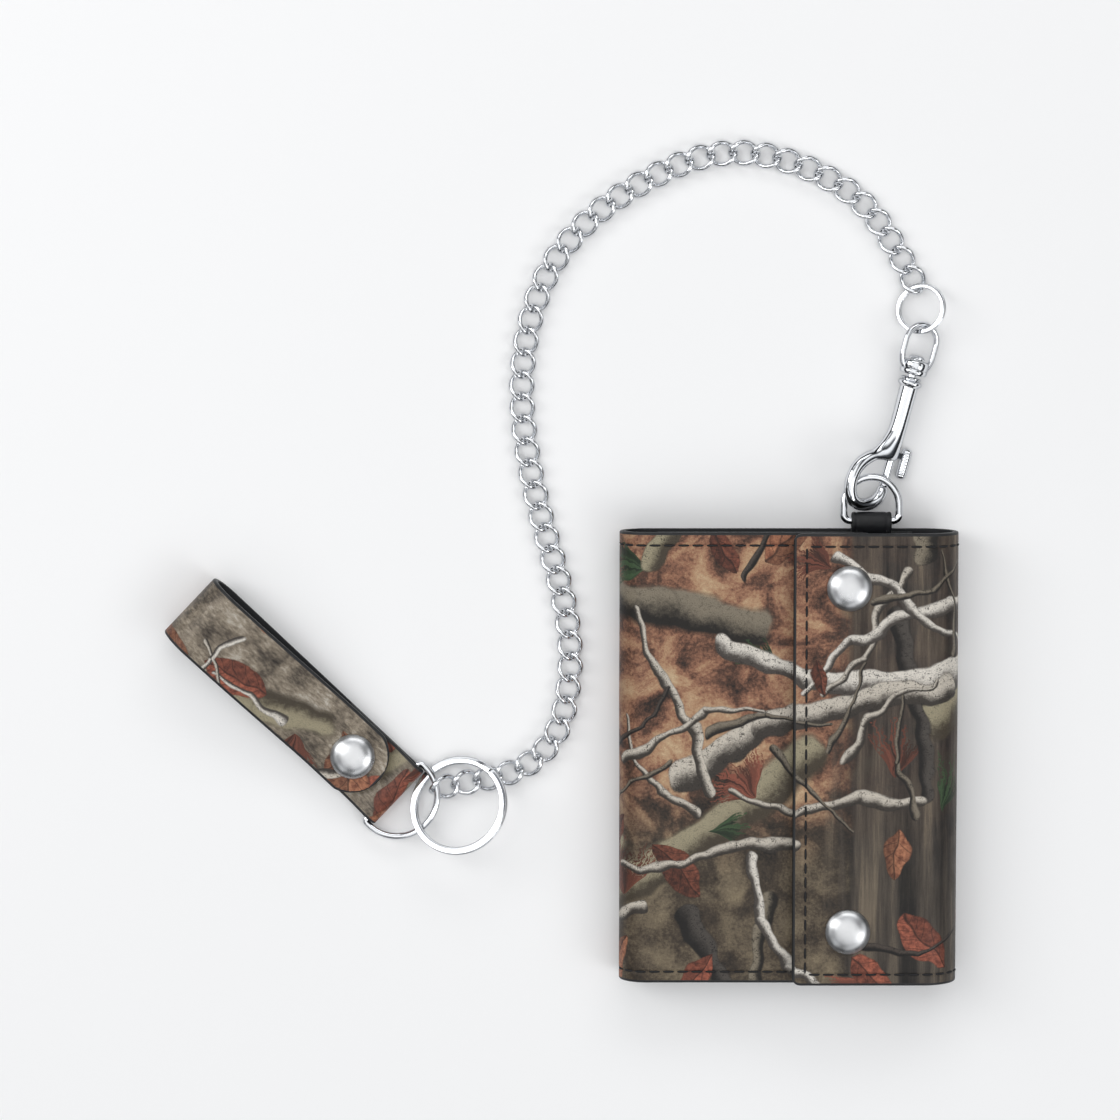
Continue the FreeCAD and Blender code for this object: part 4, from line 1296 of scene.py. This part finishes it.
floor_material, floor_tree, floor_shader = new_material("studio_floor")
floor_place = floor_tree.node("ShaderNodeTexCoord").outputs["Object"]
floor_tone = floor_tree.mix(floor_tree.noise(floor_place, 3.0, 2), (0.93, 0.93, 0.93, 1), (
    0.95, 0.95, 0.95, 1))
link(floor_tree, floor_tone, floor_shader.inputs["Base Color"])
floor_shader.inputs["Roughness"].default_value = 0.9
FLOOR_HALF, FLOOR_Z = 6000.0, -0.05
corners = [(x * FLOOR_HALF, y * FLOOR_HALF, FLOOR_Z) for x, y in ((-1, -1), (1, -1), (1, 1), (-1, 1))]
floor = add_object("studio_floor", corners, [(0, 1, 2, 3)], [floor_material])

world = bpy.data.worlds.new("studio")
bpy.context.scene.world = world
world.use_nodes = True
sky = Tree(world.node_tree)
direction = sky.node("ShaderNodeTexCoord").outputs["Generated"]
rise = sky.node("ShaderNodeSeparateXYZ", {0: direction}).outputs[2]
glow = sky.ramp(rise, [(0.0, "#3A3B3F"), (0.16, "#1C1D20"), (0.36, "#4A4C50"), (0.46, "#E6E8EA"), (
    0.62, "#F8F9FA"),
                       (0.70, "#77797E"), (0.76, "#85878C"), (0.82, "#F2F3F5"), (1.0, "#FFFFFF")])
patches = sky.noise(sky.vector("MULTIPLY", direction, (1.0, 1.0, 0.45)), 2.1, 2.0, 0.5)
flags = sky.range(patches, 0.46, 0.53, 0.2, 1.0)
overhead = sky.range(rise, 0.80, 0.93, 0.0, 1.0)
shade = sky.math("MAXIMUM", flags, overhead)
glow = sky.mix(1.0, glow, sky.grey(shade), "MULTIPLY")
# the backdrop itself is plain and pale; only the metal mirrors the darker flags
seen = sky.node("ShaderNodeLightPath").outputs["Is Camera Ray"]
glow = sky.mix(seen, glow, srgb("#E9EAEC"))
background = world.node_tree.nodes["Background"]
link(sky, glow, background.inputs["Color"])
background.inputs["Strength"].default_value = 1.25


def lamp(name, place, target, width, height, power):
    data = bpy.data.lights.new(name, "AREA")
    data.shape = "RECTANGLE"
    data.size, data.size_y, data.energy = width, height, power
    obj = bpy.data.objects.new(name, data)
    obj.location = place
    obj.rotation_euler = (Vector(target) - Vector(place)).to_track_quat("-Z", "Y").to_euler()
    bpy.context.collection.objects.link(obj)


VIEW_CENTRE = (-0.0545, 0.0463, 0.0)
TILT = math.radians(5.0)
LENS = 133.9
lamp("key", (-0.75, 0.35, 0.75), VIEW_CENTRE, 0.5, 0.9, 3.6)
lamp("fill", (0.7, -0.4, 0.8), VIEW_CENTRE, 0.5, 0.5, 1.9)
lamp("back", (0.1, 0.9, 0.55), VIEW_CENTRE, 0.9, 0.3, 1.3)

camera_data = bpy.data.cameras.new("camera")
camera_data.lens = LENS
camera_data.sensor_width = 36.0
camera = bpy.data.objects.new("camera", camera_data)
camera.location = (VIEW_CENTRE[0], VIEW_CENTRE[1] + math.sin(TILT), math.cos(TILT))
camera.rotation_euler = (-TILT, 0, 0)
bpy.context.collection.objects.link(camera)
bpy.context.scene.camera = camera
bpy.context.scene.view_settings.view_transform = "Standard"
